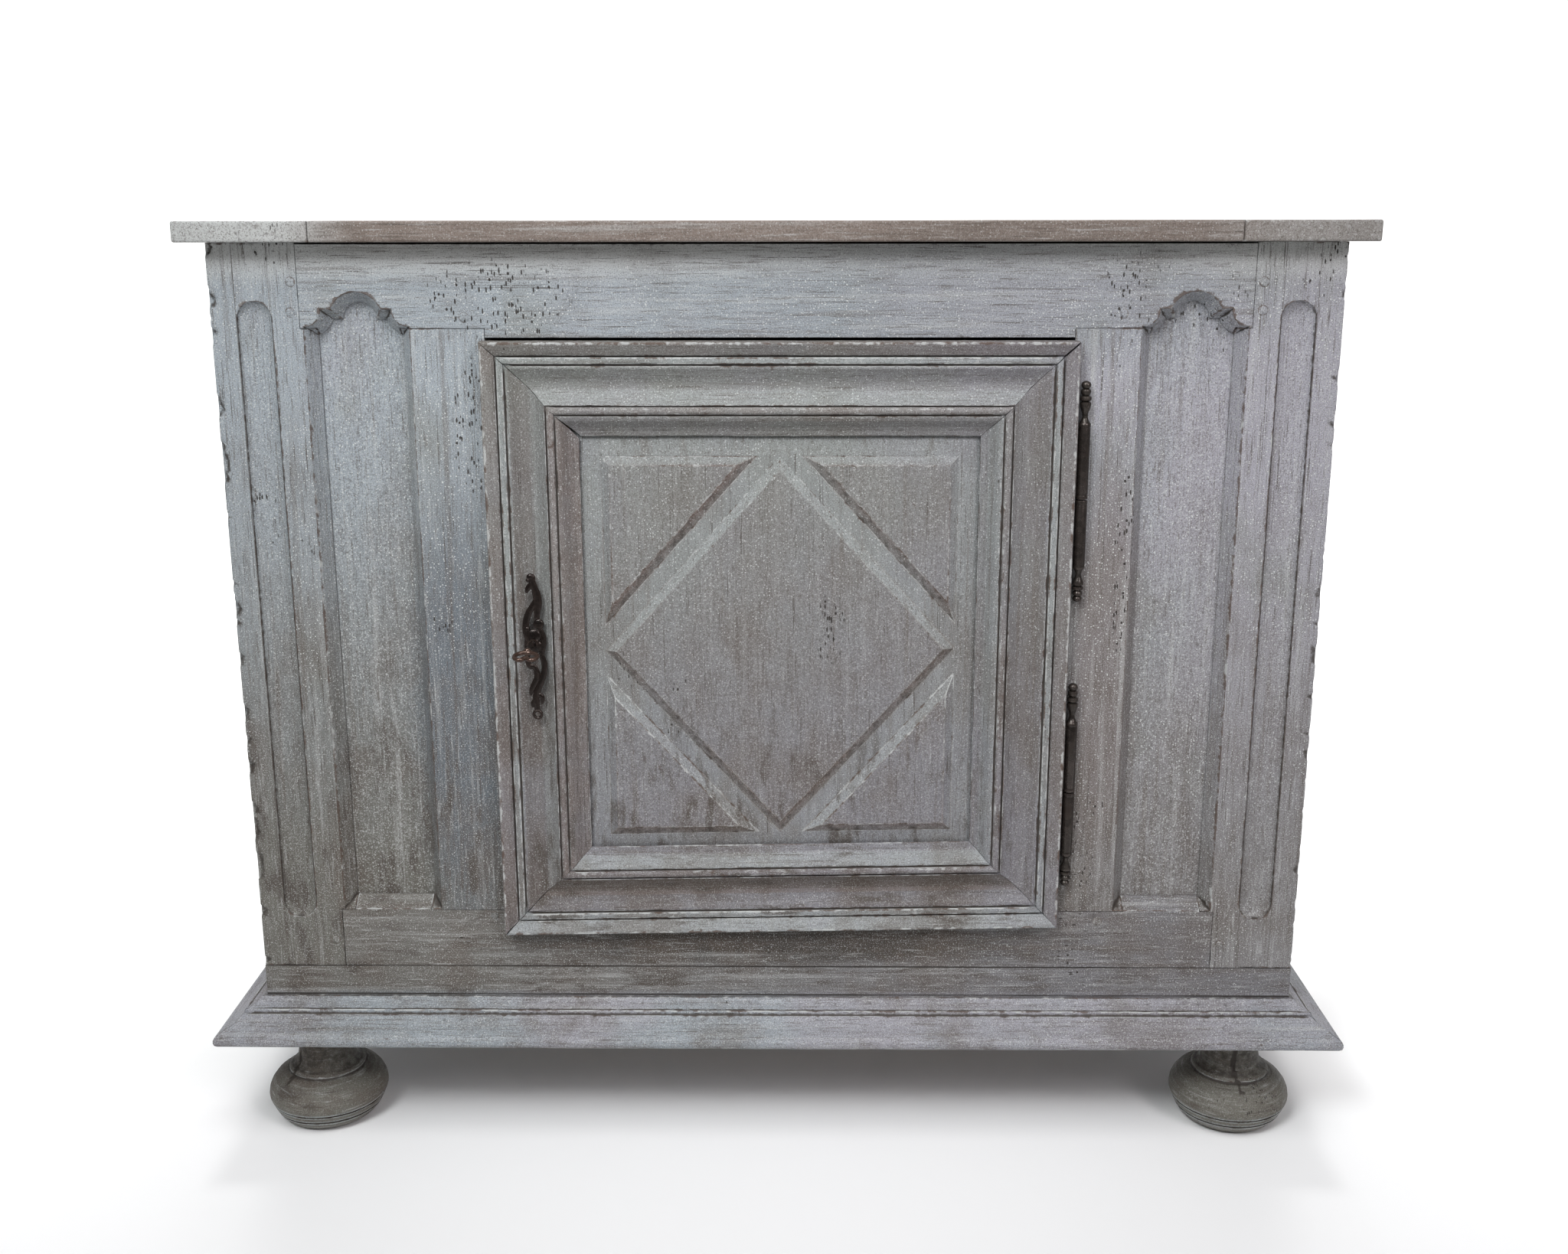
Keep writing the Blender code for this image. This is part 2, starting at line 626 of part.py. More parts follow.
def plinth():
    """Mitred base moulding along the front and both sides."""
    out = PLINTH_PROJECTION
    low = FOOT_HEIGHT
    high = FOOT_HEIGHT + PLINTH_HEIGHT
    nose = PLINTH_NOSE
    profile = [(FIT, low), (out - nose, low), (out, low + nose), (out, low + 2 * nose)]
    profile += [(0.45 * out, high - 0.34 * PLINTH_HEIGHT), (0.40 * out, high - 0.20 * PLINTH_HEIGHT)]
    profile += [(0.16 * out, high - 0.09 * PLINTH_HEIGHT), (0.10 * out, high), (FIT, high)]
    gap = FIT / 2
    sections = []
    for share in (-1, 0, 1):
        bow = (1 - abs(share)) * PLINTH_BOW
        sections.append([at(share * (HALF + u - gap), -u - bow, z) for u, z in profile])
    finish(loft("plinth_front", sections), PAINT_LOW)
    for sign in (-1, 1):
        corner = [at(sign * (HALF + u), gap - u, z) for u, z in profile]
        back = [at(sign * (HALF + u), BODY_DEPTH, z) for u, z in profile]
        finish(loft("plinth_" + side_name(sign), [corner, back]), PAINT_LOW)


def top_boards():
    """Two planks between tongued end cleats."""
    low = TOP_Z
    high = TOP_Z + TOP_THICKNESS
    edge = HALF + TOP_SIDE_OVERHANG
    inner = edge - TOP_CLEAT_WIDTH
    front = -TOP_FRONT_OVERHANG
    back = BACK_REACH
    seam = front + TOP_FRONT_PLANK
    tongue = TOP_THICKNESS / 3
    cleats = {}
    for sign in (-1, 1):
        low_x, high_x = spread(sign * (inner + FIT), sign * edge)
        cleats[sign] = block("top_cleat_" + side_name(sign), (low_x, front, low), (high_x, back, high))
    for name, near, far in (("front", front, seam - FIT / 2), ("rear", seam + FIT / 2, back)):
        plank = block("top_plank_" + name, (-inner, near, low), (inner, far, high))
        for sign in (-1, 1):
            low_x, high_x = spread(sign * (inner - TENON_ROOT), sign * (inner + TENON_LENGTH))
            tenon(
                plank, cleats[sign],
                (low_x, near + 2 * TENON_SHOULDER, low + tongue),
                (high_x, far - 2 * TENON_SHOULDER, high - tongue),
            )
        finish(plank, WORN_TOP)
    for cleat in cleats.values():
        finish(cleat, WORN_TOP)


def inside(stiles, rears):
    """Floor boards on the base and one shelf on cleats."""
    low = BASE_TOP + FIT
    high = low + FLOOR_THICKNESS
    wide = SIDE_IN - FIT
    seam = BODY_DEPTH / 2
    notch = SIGHT_OUT - FIT
    front = [
        (-wide, STILE_DEPTH + FIT), (-notch, STILE_DEPTH + FIT), (-notch, FRAME_THICKNESS + FIT),
        (notch, FRAME_THICKNESS + FIT), (notch, STILE_DEPTH + FIT), (wide, STILE_DEPTH + FIT),
        (wide, seam - FIT / 2), (-wide, seam - FIT / 2),
    ]
    notch = HALF - REAR_STILE_WIDTH - FIT
    rear = [
        (-wide, seam + FIT / 2), (wide, seam + FIT / 2), (wide, REAR_FACE - FIT), (notch, REAR_FACE - FIT),
        (notch, BACK_IN - FIT), (-notch, BACK_IN - FIT), (-notch, REAR_FACE - FIT), (-wide, REAR_FACE - FIT),
    ]
    finish(plate("floor_board_front", front, low, high, flat=True), RAW_OAK)
    finish(plate("floor_board_rear", rear, low, high, flat=True), RAW_OAK)
    for sign in (-1, 1):
        low_x, high_x = spread(sign * (SIDE_IN - FIT - CLEAT_WIDTH), sign * (SIDE_IN - FIT))
        low = (low_x, STILE_DEPTH - GROOVE_DEPTH, SHELF_Z - CLEAT_HEIGHT)
        high = (high_x, REAR_FACE + GROOVE_DEPTH, SHELF_Z)
        cleat = block("shelf_cleat_" + side_name(sign), low, high)
        for stile in (stiles[sign], rears[sign]):
            cut(stile, block("cleat_mortise", *grown(low, high, FIT)))
        finish(cleat, RAW_OAK)
    shelf = block(
        "shelf_board",
        (-wide, FRAME_THICKNESS + SHELF_SETBACK, SHELF_Z + FIT),
        (wide, REAR_FACE - FIT, SHELF_Z + FIT + SHELF_THICKNESS),
    )
    finish(shelf, RAW_OAK)


def hang(item, empty):
    """Parent a piece to a pivot without moving it."""
    item.parent = empty
    item.matrix_parent_inverse = Matrix.Translation(-empty.location)
    return item


def pivot(name, location):
    empty = bpy.data.objects.new(name, None)
    empty.location = location
    PARTS.objects.link(empty)
    return empty


def door_frame():
    """Stiles and rails that fill the opening, grooved for the panel."""
    back = DOOR_THICKNESS
    top = LIP_TOP - DOOR_LIP
    bottom = DOOR_BOTTOM
    left = DOOR_LEFT
    right = DOOR_RIGHT
    inner = (left + DOOR_STILE, right - DOOR_STILE, bottom + DOOR_BOTTOM_RAIL, top - DOOR_STILE)
    pieces = {
        "door_stile_latch": block("door_stile_latch", (left, 0, bottom), (inner[0], back, top)),
        "door_stile_hinge": block("door_stile_hinge", (inner[1], 0, bottom), (right, back, top)),
    }
    for name, low, high in (("top", inner[3], top), ("bottom", bottom, inner[2])):
        rail = block("door_rail_" + name, (inner[0] + FIT, 0, low), (inner[1] - FIT, back, high))
        near = back - TENON_THICKNESS + TRIM
        far = back - 2 * TRIM
        tongue = (low + 2 * TENON_SHOULDER, high - 2 * TENON_SHOULDER)
        for stile, edge, sign in (("latch", inner[0], -1), ("hinge", inner[1], 1)):
            low_x, high_x = spread(edge - sign * TENON_ROOT, edge + sign * TENON_LENGTH)
            tenon(rail, pieces["door_stile_" + stile], (low_x, near, tongue[0]), (high_x, far, tongue[1]))
        pieces[rail.name] = rail
    groove = (PANEL_TONGUE_SETBACK - FIT, PANEL_TONGUE_SETBACK + PANEL_TONGUE + FIT)
    for piece in pieces.values():
        low = (inner[0] - GROOVE_DEPTH, groove[0], inner[2] - GROOVE_DEPTH)
        high = (inner[1] + GROOVE_DEPTH, groove[1], inner[3] + GROOVE_DEPTH)
        cut(piece, block("door_groove", low, high))
        finish(piece, RAW_OAK)
    return pieces, inner


def cove_height(share):
    """Height of the door moulding's cove above the frame, from its outer to its inner edge."""
    return MOULDING_RELIEF * (0.58 + 0.22 * share - 0.42 * math.sin(math.pi * share))


def moulding_profile():
    """Door moulding from its outer edge inwards: distance in, height above the frame."""
    relief = MOULDING_RELIEF
    wide = MOULDING_WIDTH
    cove_start = COVE_EDGES[0] * wide
    cove_end = COVE_EDGES[1] * wide
    profile = [(0, FIT), (0, 0.88 * relief), (0.02 * wide, relief), (0.15 * wide, 0.64 * relief)]
    profile += [(0.16 * wide, 0.56 * relief), (0.18 * wide, 0.68 * relief), (0.24 * wide, 0.68 * relief)]
    profile += [(0.25 * wide, 0.58 * relief), (cove_start, 0.58 * relief)]
    for i in range(1, 8):
        share = i / 8
        profile.append((cove_start + (cove_end - cove_start) * share, cove_height(share)))
    profile += [(cove_end, 0.80 * relief), (0.69 * wide, 0.92 * relief), (0.75 * wide, 0.96 * relief)]
    profile += [(0.80 * wide, 0.88 * relief), (0.83 * wide, 0.78 * relief)]
    profile += [(0.90 * wide, 0.36 * relief), (wide, 0.12 * relief), (wide, FIT)]
    return profile


def door_drop(x):
    """How far the door's lower edge hangs below its hinge-side corner."""
    return DOOR_SAG * (LIP_RIGHT - x) / (LIP_RIGHT - LIP_LEFT)


def mitre_lines(corners):
    """Way inwards at each corner of an anticlockwise outline, for one unit of width."""
    count = len(corners)
    inward = []
    for i in range(count):
        along = (corners[(i + 1) % count] - corners[i]).normalized()
        inward.append(Vector((-along.y, along.x)))
    return [(inward[i - 1] + inward[i]) / (1 + inward[i - 1].dot(inward[i])) for i in range(count)]


def drawn_in(corners, distance):
    return [corner + mitre * distance for corner, mitre in zip(corners, mitre_lines(corners))]


def door_mouldings():
    """Four mitred lengths round the door; the latch side hangs a little lower."""
    corners = [
        Vector((LIP_LEFT, LIP_BOTTOM - DOOR_SAG)), Vector((LIP_RIGHT, LIP_BOTTOM)),
        Vector((LIP_RIGHT, LIP_TOP)), Vector((LIP_LEFT, LIP_TOP)),
    ]
    profile = moulding_profile()
    mitres = mitre_lines(corners)
    pieces = {}
    for i, name in enumerate(("bottom", "right", "top", "left")):
        j = (i + 1) % len(corners)
        gap = (corners[j] - corners[i]).normalized() * FIT
        rings = []
        for corner, mitre, shift in ((corners[i], mitres[i], gap), (corners[j], mitres[j], -gap)):
            ring = []
            for distance, height in profile:
                place = corner + mitre * distance + shift
                ring.append(at(place.x, -height, place.y))
            rings.append(ring)
        pieces[name] = finish(loft("door_moulding_" + name, rings), PAINT_DOOR)
    return pieces


def panel_field():
    """Corners of the door panel's raised field, its lower edge parallel to the door's."""
    margin = MOULDING_WIDTH + PANEL_BORDER
    left = LIP_LEFT + margin
    right = LIP_RIGHT - margin
    top = LIP_TOP - margin
    low = LIP_BOTTOM + MOULDING_WIDTH + PANEL_BORDER_LOW
    points = ((left, low - door_drop(left)), (right, low - door_drop(right)), (right, top), (left, top))
    return [Vector(point) for point in points]


def field_shapes(field):
    """Outlines on the field: a lozenge through its mid-sides and a triangle in each corner."""
    apexes = [(field[i] + field[(i + 1) % len(field)]) / 2 for i in range(len(field))]
    shapes = [apexes]
    for i, corner in enumerate(field):
        edge = (apexes[i] - apexes[i - 1]).normalized()
        outward = Vector((edge.y, -edge.x))
        tips = []
        for apex in (apexes[i - 1], apexes[i]):
            side = (corner - apex).normalized()
            tips.append(apex + side * STRAP_WIDTH / outward.dot(side))
        shapes.append([tips[0], corner, tips[1]])
    return shapes


def door_panel(inner):
    """Fielded panel: bevelled border, raised lozenge and four raised corners."""
    left, right, bottom, top = inner
    opening = [Vector(point) for point in ((left, bottom), (right, bottom), (right, top), (left, top))]
    field = panel_field()

    def ring(corners, depth):
        return [at(corner.x, depth, corner.y) for corner in corners]

    front = PANEL_TONGUE_SETBACK
    tongue = drawn_in(opening, 2 * FIT - GROOVE_DEPTH)
    item = loft("door_panel", [
        ring(tongue, front + PANEL_TONGUE), ring(tongue, front),
        ring(drawn_in(opening, TRIM), front), ring(field, 0),
    ])
    for i, shape in enumerate(field_shapes(field)):
        foot_ring = drawn_in(shape, TRIM)
        crest = drawn_in(shape, TRIM + PLATEAU_BEVEL)
        fuse(item, loft(f"plateau_{i}", [
            ring(foot_ring, front / 2), ring(foot_ring, 0), ring(crest, -PLATEAU_RISE),
        ]))
    return finish(item, PAINT_DOOR)


def finial(radius, base, direction):
    """Vase and dome that end a barrel: from its tip to its foot."""
    steps = ((0, 1.0), (0.55, 0.98), (0.92, 0.84), (0.96, 0.70), (0.70, 0.64), (0.98, 0.57))
    steps += ((0.98, 0.46), (0.72, 0.39), (0.98, 0.32), (0.80, 0.18), (0.45, 0.07), (0.45, 0))
    return [(share * radius, base + direction * HINGE_FINIAL * height) for share, height in steps]


def hinge(name, height, jamb_piece, moulding):
    """Lift-off hinge: the lower barrel with its pin on the jamb, the upper one on the door."""
    seat = at(HINGE_X, HINGE_DEPTH, height)
    radius = HINGE_RADIUS
    upper_base = HINGE_DOOR_LENGTH - HINGE_FINIAL
    lower_base = HINGE_FINIAL - HINGE_FRAME_LENGTH
    half_leaf = HINGE_LEAF / 2

    door_profile = finial(radius, upper_base, 1) + [(radius, upper_base), (radius, FIT), (0, FIT)]
    door_barrel = turned(name + "_hinge_door_barrel", door_profile, seat, 16)
    leaf_z = height + (upper_base - HINGE_LEAF_HEIGHT) / 2
    low = (LIP_RIGHT - HINGE_LEAF_REACH, HINGE_DEPTH - half_leaf, leaf_z)
    high = (HINGE_X - HINGE_PIN_RADIUS - HINGE_LEAF_SETBACK, HINGE_DEPTH + half_leaf, leaf_z + HINGE_LEAF_HEIGHT)
    fuse(door_barrel, block(name + "_door_leaf", low, high))
    bore = HINGE_PIN_RADIUS + PIVOT_PLAY
    top = Vector((0, 0, HINGE_PIN_LENGTH + 2 * FIT))
    cut(door_barrel, rod(name + "_bore", bore, seat - Vector((0, 0, OVERCUT)), seat + top, 16))
    cut(moulding, block(name + "_leaf_slot", *grown(low, high, FIT)))

    pin = [(0, HINGE_PIN_LENGTH), (HINGE_PIN_RADIUS, HINGE_PIN_LENGTH), (HINGE_PIN_RADIUS, 0)]
    frame_profile = pin + [(radius, 0), (radius, lower_base)]
    frame_profile += finial(radius, lower_base, -1)[::-1]
    frame_barrel = turned(name + "_hinge_frame_barrel", frame_profile, seat, 16)
    leaf_z = height + (lower_base - HINGE_LEAF_HEIGHT) / 2 + 0.004
    low = (HINGE_X - half_leaf, HINGE_DEPTH, leaf_z)
    high = (HINGE_X + half_leaf, HINGE_LEAF_REACH, leaf_z + HINGE_LEAF_HEIGHT - 0.012)
    fuse(frame_barrel, block(name + "_frame_leaf", low, high))
    cut(jamb_piece, block(name + "_jamb_slot", *grown(low, high, FIT)))
    finish(frame_barrel, IRON, smooth=True)
    return finish(door_barrel, IRON, smooth=True)


def key():
    """Warded key: heart-shaped bow, collared shaft and bit, turning about its shaft."""
    origin = at(KEY_X, 0, KEY_HEIGHT)
    inner = BOLT_DEPTH + BOLT_THICKNESS / 2 + 2 * BOLT_PLAY
    tip = inner + KEY_BIT_LENGTH
    wire = KEY_BOW_WIRE
    neck = -(KEY_BOW_CENTRE - 1.4 * KEY_BOW_HALF_LENGTH)
    collar = neck + 0.010
    radius = KEY_RADIUS
    profile = [(0, -neck), (radius - 0.0008, -neck), (radius - 0.0008, -collar), (radius + 0.0015, -collar)]
    profile += [(radius + 0.0015, -collar - 0.004), (radius, -collar - 0.004), (radius, -tip), (0, -tip)]
    shaft = turned("key", profile, origin, 16)
    shaft.rotation_euler = (math.pi / 2, 0, 0)

    curve = bpy.data.curves.new("key_bow", "CURVE")
    curve.dimensions = "3D"
    curve.bevel_depth = wire
    curve.bevel_resolution = 2
    count = 24
    spline = curve.splines.new("POLY")
    spline.points.add(count - 1)
    spline.use_cyclic_u = True
    for i, point in enumerate(spline.points):
        angle = 2 * math.pi * i / count
        across = KEY_BOW_HALF_WIDTH * math.cos(angle)
        forward = KEY_BOW_HALF_LENGTH * (math.sin(angle) + 0.4 * math.cos(2 * angle))
        point.co = (across, -KEY_BOW_CENTRE - forward, 0, 1)
    guide = bpy.data.objects.new("key_bow", curve)
    guide.location = origin
    PARTS.objects.link(guide)
    fuse(shaft, curve_to_mesh(guide))

    low = (KEY_X - 0.0015, inner, KEY_HEIGHT - KEY_BIT_RADIUS)
    fuse(shaft, block("key_bit", low, (KEY_X + 0.0015, tip, KEY_HEIGHT)))
    return finish(shaft, IRON, smooth=True)


def lock(stile, moulding, jamb_piece):
    """Rim lock on the back of the latch stile, with its bolt and strike plate."""
    left = DOOR_LEFT
    right = left + LOCK_SIZE
    low_z = KEY_HEIGHT - LOCK_SIZE / 2
    high_z = KEY_HEIGHT + LOCK_SIZE / 2
    cover_back = CASE_FRONT - FIT + LOCK_WALL
    case_back = CASE_FRONT + LOCK_DEPTH
    hole = KEY_RADIUS + PIVOT_PLAY

    cover = block("lock_cover", (left, CASE_FRONT - FIT, low_z), (right, cover_back, high_z))
    case = block("lock_case", (left, cover_back + FIT, low_z), (right, case_back, high_z))
    inner = grown((left, 0, low_z), (right, case_back, high_z), -LOCK_WALL)
    cut(case, block("case_hollow", (inner[0][0], CASE_FRONT - OVERCUT, inner[0][2]), inner[1]))

    bolt_z = KEY_HEIGHT + BOLT_RISE
    bolt_low = (left, BOLT_DEPTH - BOLT_THICKNESS / 2, bolt_z - BOLT_HEIGHT / 2)
    bolt_high = (left + BOLT_LENGTH, BOLT_DEPTH + BOLT_THICKNESS / 2, bolt_z + BOLT_HEIGHT / 2)
    bolt = finish(block("lock_bolt", bolt_low, bolt_high), IRON)
    mouth = (left - OVERCUT, *bolt_low[1:]), (left + LOCK_WALL + OVERCUT, *bolt_high[1:])
    cut(case, block("bolt_mouth", *grown(*mouth, FIT)))

    shaft_front = at(KEY_X, -MOULDING_RELIEF - OVERCUT, KEY_HEIGHT)
    shaft_back = at(KEY_X, CASE_FRONT + LOCK_WALL + OVERCUT, KEY_HEIGHT)
    for piece in (moulding, stile, cover):
        cut(piece, rod("key_hole", hole, shaft_front, shaft_back, 16))

    edge = OPENING_LEFT
    reach = STRIKE_HEIGHT / 2
    plate_low = (edge - STRIKE_THICKNESS, bolt_low[1] - STRIKE_MARGIN, bolt_z - reach)
    plate_high = (edge, FRAME_THICKNESS - TRIM, bolt_z + reach)
    strike = block("strike_plate", plate_low, plate_high)
    cut(jamb_piece, block("strike_recess", *grown(plate_low, plate_high, FIT)))
    play = BOLT_PLAY
    throw_low = (edge - BOLT_TRAVEL - play, bolt_low[1] - play, bolt_low[2] - play)
    throw_high = (edge + OVERCUT, bolt_high[1] + play, bolt_high[2] + play)
    for piece in (strike, jamb_piece):
        cut(piece, block("bolt_mortise", throw_low, throw_high))
    finish(strike, IRON)
    return finish(cover, IRON), finish(case, IRON), bolt


def escutcheon():
    """Pierced lock plate: waisted cartouche on a tube that seats in the cove."""
    top = KEY_HEIGHT + ESCUTCHEON_ABOVE_KEY
    half = []
    count = 28
    for i in range(count + 1):
        share = i / count
        belly = math.exp(-((share - 0.48) / 0.13) ** 2)
        scroll = math.exp(-((share - 0.80) / 0.10) ** 2)
        leaf = math.exp(-((share - 0.07) / 0.06) ** 2)
        width = 0.28 + 0.72 * belly + 0.35 * scroll + 0.12 * leaf
        half.append((ESCUTCHEON_HALF_WIDTH * min(width, 1.0), top - ESCUTCHEON_HEIGHT * share))
    outline = [(KEY_X + w, z) for w, z in half] + [(KEY_X - w, z) for w, z in reversed(half)]
    rise = ESCUTCHEON_RISE
    item = plate("escutcheon", outline[::-1], -rise - ESCUTCHEON_THICKNESS, -rise)
    tube = KEY_RADIUS + PIVOT_PLAY + ESCUTCHEON_TUBE_WALL
    heights = []
    for edge in (KEY_FROM_LIP - tube, KEY_FROM_LIP + tube):
        share = (edge / MOULDING_WIDTH - COVE_EDGES[0]) / (COVE_EDGES[1] - COVE_EDGES[0])
        heights.append(cove_height(share))
    seat = max(heights) + 2 * FIT
    tube_front = at(KEY_X, -rise - ESCUTCHEON_THICKNESS / 2, KEY_HEIGHT)
    fuse(item, rod("escutcheon_tube", tube, tube_front, at(KEY_X, -seat, KEY_HEIGHT), 16))
    bore_front = at(KEY_X, -rise - ESCUTCHEON_THICKNESS - OVERCUT, KEY_HEIGHT)
    cut(item, rod("escutcheon_bore", KEY_RADIUS + PIVOT_PLAY, bore_front, at(KEY_X, 0, KEY_HEIGHT), 16))
    return finish(item, BRONZE)


def build_carcass():
    openings = {sign: panel_opening(sign) for sign in (-1, 1)}
    stiles = {sign: front_stile(sign, openings[sign]) for sign in (-1, 1)}
    top, bottom = front_rails(openings)
    jambs = {
        -1: jamb("latch_jamb", -1, OPENING_LEFT, openings[-1]),
        1: jamb("hinge_jamb", 1, OPENING_RIGHT, openings[1]),
    }
    pin_front_frame(stiles, jambs, top, bottom)
    for sign in (-1, 1):
        finish(block("front_panel_" + side_name(sign), *panel_corners(sign, 0)), PAINT)
    rears = {sign: side_frame(sign, stiles[sign]) for sign in (-1, 1)}
    back_frame(rears)
    beams = base_frame()
    for sign in (-1, 1):
        x = sign * (HALF - FOOT_INSET_X)
        foot("front_" + side_name(sign), x, FOOT_INSET_Y, beams["front"])
        foot("rear_" + side_name(sign), x, BODY_DEPTH - FOOT_RADIUS, beams["rear"])
    plinth()
    top_boards()
    inside(stiles, rears)
    return jambs


def build_door(jambs):
    door_pivot = pivot("door_pivot", at(HINGE_X, HINGE_DEPTH, LIP_BOTTOM))
    frame, inner = door_frame()
    mouldings = door_mouldings()
    pieces = list(frame.values()) + list(mouldings.values())
    pieces.append(door_panel(inner))
    for name, height in HINGE_JOINTS.items():
        pieces.append(hinge(name, height, jambs[1], mouldings["right"]))
    cover, case, bolt = lock(frame["door_stile_latch"], mouldings["left"], jambs[-1])
    pieces += [cover, case, bolt, escutcheon(), key()]
    for piece in pieces:
        hang(piece, door_pivot)


clear_scene()
PARTS = make_collection("buffet_cabinet")
CUTTERS = make_collection("cutters")
build_door(build_carcass())
bpy.context.view_layer.update()
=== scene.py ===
"""Dress the buffet cabinet: worn painted oak, iron and bronze fittings, a pale stage and the camera."""

import json
import math
from dataclasses import dataclass

import bmesh
import bpy
from mathutils import Matrix, Vector, noise


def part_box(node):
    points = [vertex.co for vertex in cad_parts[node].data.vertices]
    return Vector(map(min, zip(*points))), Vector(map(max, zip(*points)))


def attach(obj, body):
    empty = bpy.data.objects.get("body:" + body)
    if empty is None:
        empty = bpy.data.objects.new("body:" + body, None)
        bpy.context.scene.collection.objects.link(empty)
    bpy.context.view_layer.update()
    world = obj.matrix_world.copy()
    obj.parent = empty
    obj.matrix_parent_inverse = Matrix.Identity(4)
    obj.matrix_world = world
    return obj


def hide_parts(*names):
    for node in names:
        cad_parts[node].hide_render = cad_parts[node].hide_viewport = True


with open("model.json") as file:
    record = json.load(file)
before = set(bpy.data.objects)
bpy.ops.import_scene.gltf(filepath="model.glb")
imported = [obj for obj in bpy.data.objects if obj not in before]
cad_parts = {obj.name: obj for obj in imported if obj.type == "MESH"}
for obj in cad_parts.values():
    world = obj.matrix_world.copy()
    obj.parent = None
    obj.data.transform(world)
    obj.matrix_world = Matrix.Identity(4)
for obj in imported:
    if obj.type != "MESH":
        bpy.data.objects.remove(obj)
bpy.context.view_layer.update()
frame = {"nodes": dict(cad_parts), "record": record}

bl_info = {
    "name": "Buffet cabinet",
    "version": (1, 0, 0),
    "blender": (4, 5, 0),
    "location": "View3D > Sidebar > Buffet",
    "description": "Builds the worn painted surfaces, mouldings and fittings of a one-door buffet",
    "category": "Object",
}

BODIES = frame["record"]["behaviour"]["bodies"]
BODY_OF = {node: body for body, nodes in BODIES.items() for node in nodes}
SIDES = {"left": -1, "right": 1}
AXES = "xyz"

FACE_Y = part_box("front_top_rail")[0].y
BACK_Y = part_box("back_top_rail")[1].y
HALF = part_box("front_stile_right")[1].x
TOP_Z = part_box("top_plank_front")[0].z
FOOT_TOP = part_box("plinth_front")[0].z
PLINTH_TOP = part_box("plinth_front")[1].z
BASE_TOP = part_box("base_frame_front")[1].z
PLINTH_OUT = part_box("plinth_right")[1].x - HALF
KEY_MIDDLE = (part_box("key")[0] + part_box("key")[1]) / 2
JOINTS = {joint["name"]: joint for joint in frame["record"]["behaviour"]["joints"]}
DOOR_AXIS = Vector(JOINTS["door_swing"]["pos_m"])
KEY_AXIS = Vector(JOINTS["key_turn"]["pos_m"])


def length(label, description, default):
    """Property that holds a length in metres."""
    return bpy.props.FloatProperty(
        name=label, description=description, default=default, unit="LENGTH", precision=5
    )


def tone(label, description, default):
    """Property that holds a colour."""
    return bpy.props.FloatVectorProperty(
        name=label, description=description, default=default, subtype="COLOR", size=3, min=0, max=1
    )


class BuffetSizes(bpy.types.PropertyGroup):
    """Sizes of the wear and of the small pieces."""

    joint_edge: length("Joint edge", "Rounding of the edges of flush joints", 0.0003)
    corner: length("Corner", "Rounding of the outer corners of the frame", 0.0018)
    board_edge: length("Board edge", "Rounding of the edges of the top", 0.0024)
    waver: length("Waver", "How far planed faces wander", 0.0003)
    chip: length("Chip", "Depth of the chips along worn edges", 0.0016)
    mitre: length("Mitre", "Gap at the mitres of the door moulding", 0.0001)
    peg: length("Peg", "Radius of the pegs", 0.0045)
    peg_rise: length("Peg rise", "How far a peg stands proud", 0.0009)


class BuffetColours(bpy.types.PropertyGroup):
    """Colours of the finishes."""

    paint: tone("Paint", "Grey-blue paint", (0.282, 0.318, 0.345))
    paint_warm: tone("Warm paint", "Paint where it has gone purple-grey", (0.306, 0.301, 0.336))
    # Laid on towards the floor as brown dirt and as painted shade for the lower parts
    paint_low: tone("Low paint", "Paint gone brown near the floor", (0.110, 0.104, 0.086))
    paint_green: tone("Green paint", "Green-grey paint of the door", (0.218, 0.232, 0.214))
    # Pale bloom, also laid on as painted highlight on the panel's up-facing facets, the feet's ridges and
    # the coves
    bloom: tone("Bloom", "Pale bloom on the mouldings", (0.300, 0.334, 0.330))
    # Also laid on as painted light in a band on the rail under the top
    fleck: tone("Fleck", "Pale flecks and rubbed edges", (0.50, 0.51, 0.50))
    # Dirt, also laid on as painted shade in hollows, in the coves and under the door's lip
    dirt: tone("Dirt", "Dirt in hollows and open grain", (0.062, 0.048, 0.038))
    # A real stain, also laid on as painted shade on the panel's down-facing facets and in the coves
    mauve: tone("Mauve", "Mauve-brown stain on the door", (0.165, 0.125, 0.112))
    blue_stain: tone("Blue stain", "Blue stain of the latch jamb", (0.080, 0.101, 0.126))
    brown_stain: tone("Brown stain", "Brown stain of the hinge jamb", (0.140, 0.110, 0.104))
    bare: tone("Bare wood", "Red-brown wood at worn edges", (0.078, 0.048, 0.034))
    top: tone("Top", "Brown-beige top", (0.190, 0.150, 0.127))
    oak: tone("Oak", "Unpainted oak", (0.210, 0.140, 0.085))
    iron: tone("Iron", "Dark wrought iron", (0.024, 0.019, 0.017))
    copper: tone("Copper", "Metal rubbed bright by the hand", (0.085, 0.050, 0.037))
    bronze: tone("Bronze", "Dark patinated bronze", (0.014, 0.0100, 0.0084))


def sizes():
    """Sizes that are set in the scene."""
    return bpy.context.scene.buffet_sizes


def colour(name, share=1.0):
    """Colour that is set in the scene, darkened or lightened by a share."""
    value = getattr(bpy.context.scene.buffet_colours, name)
    return (value[0] * share, value[1] * share, value[2] * share, 1.0)


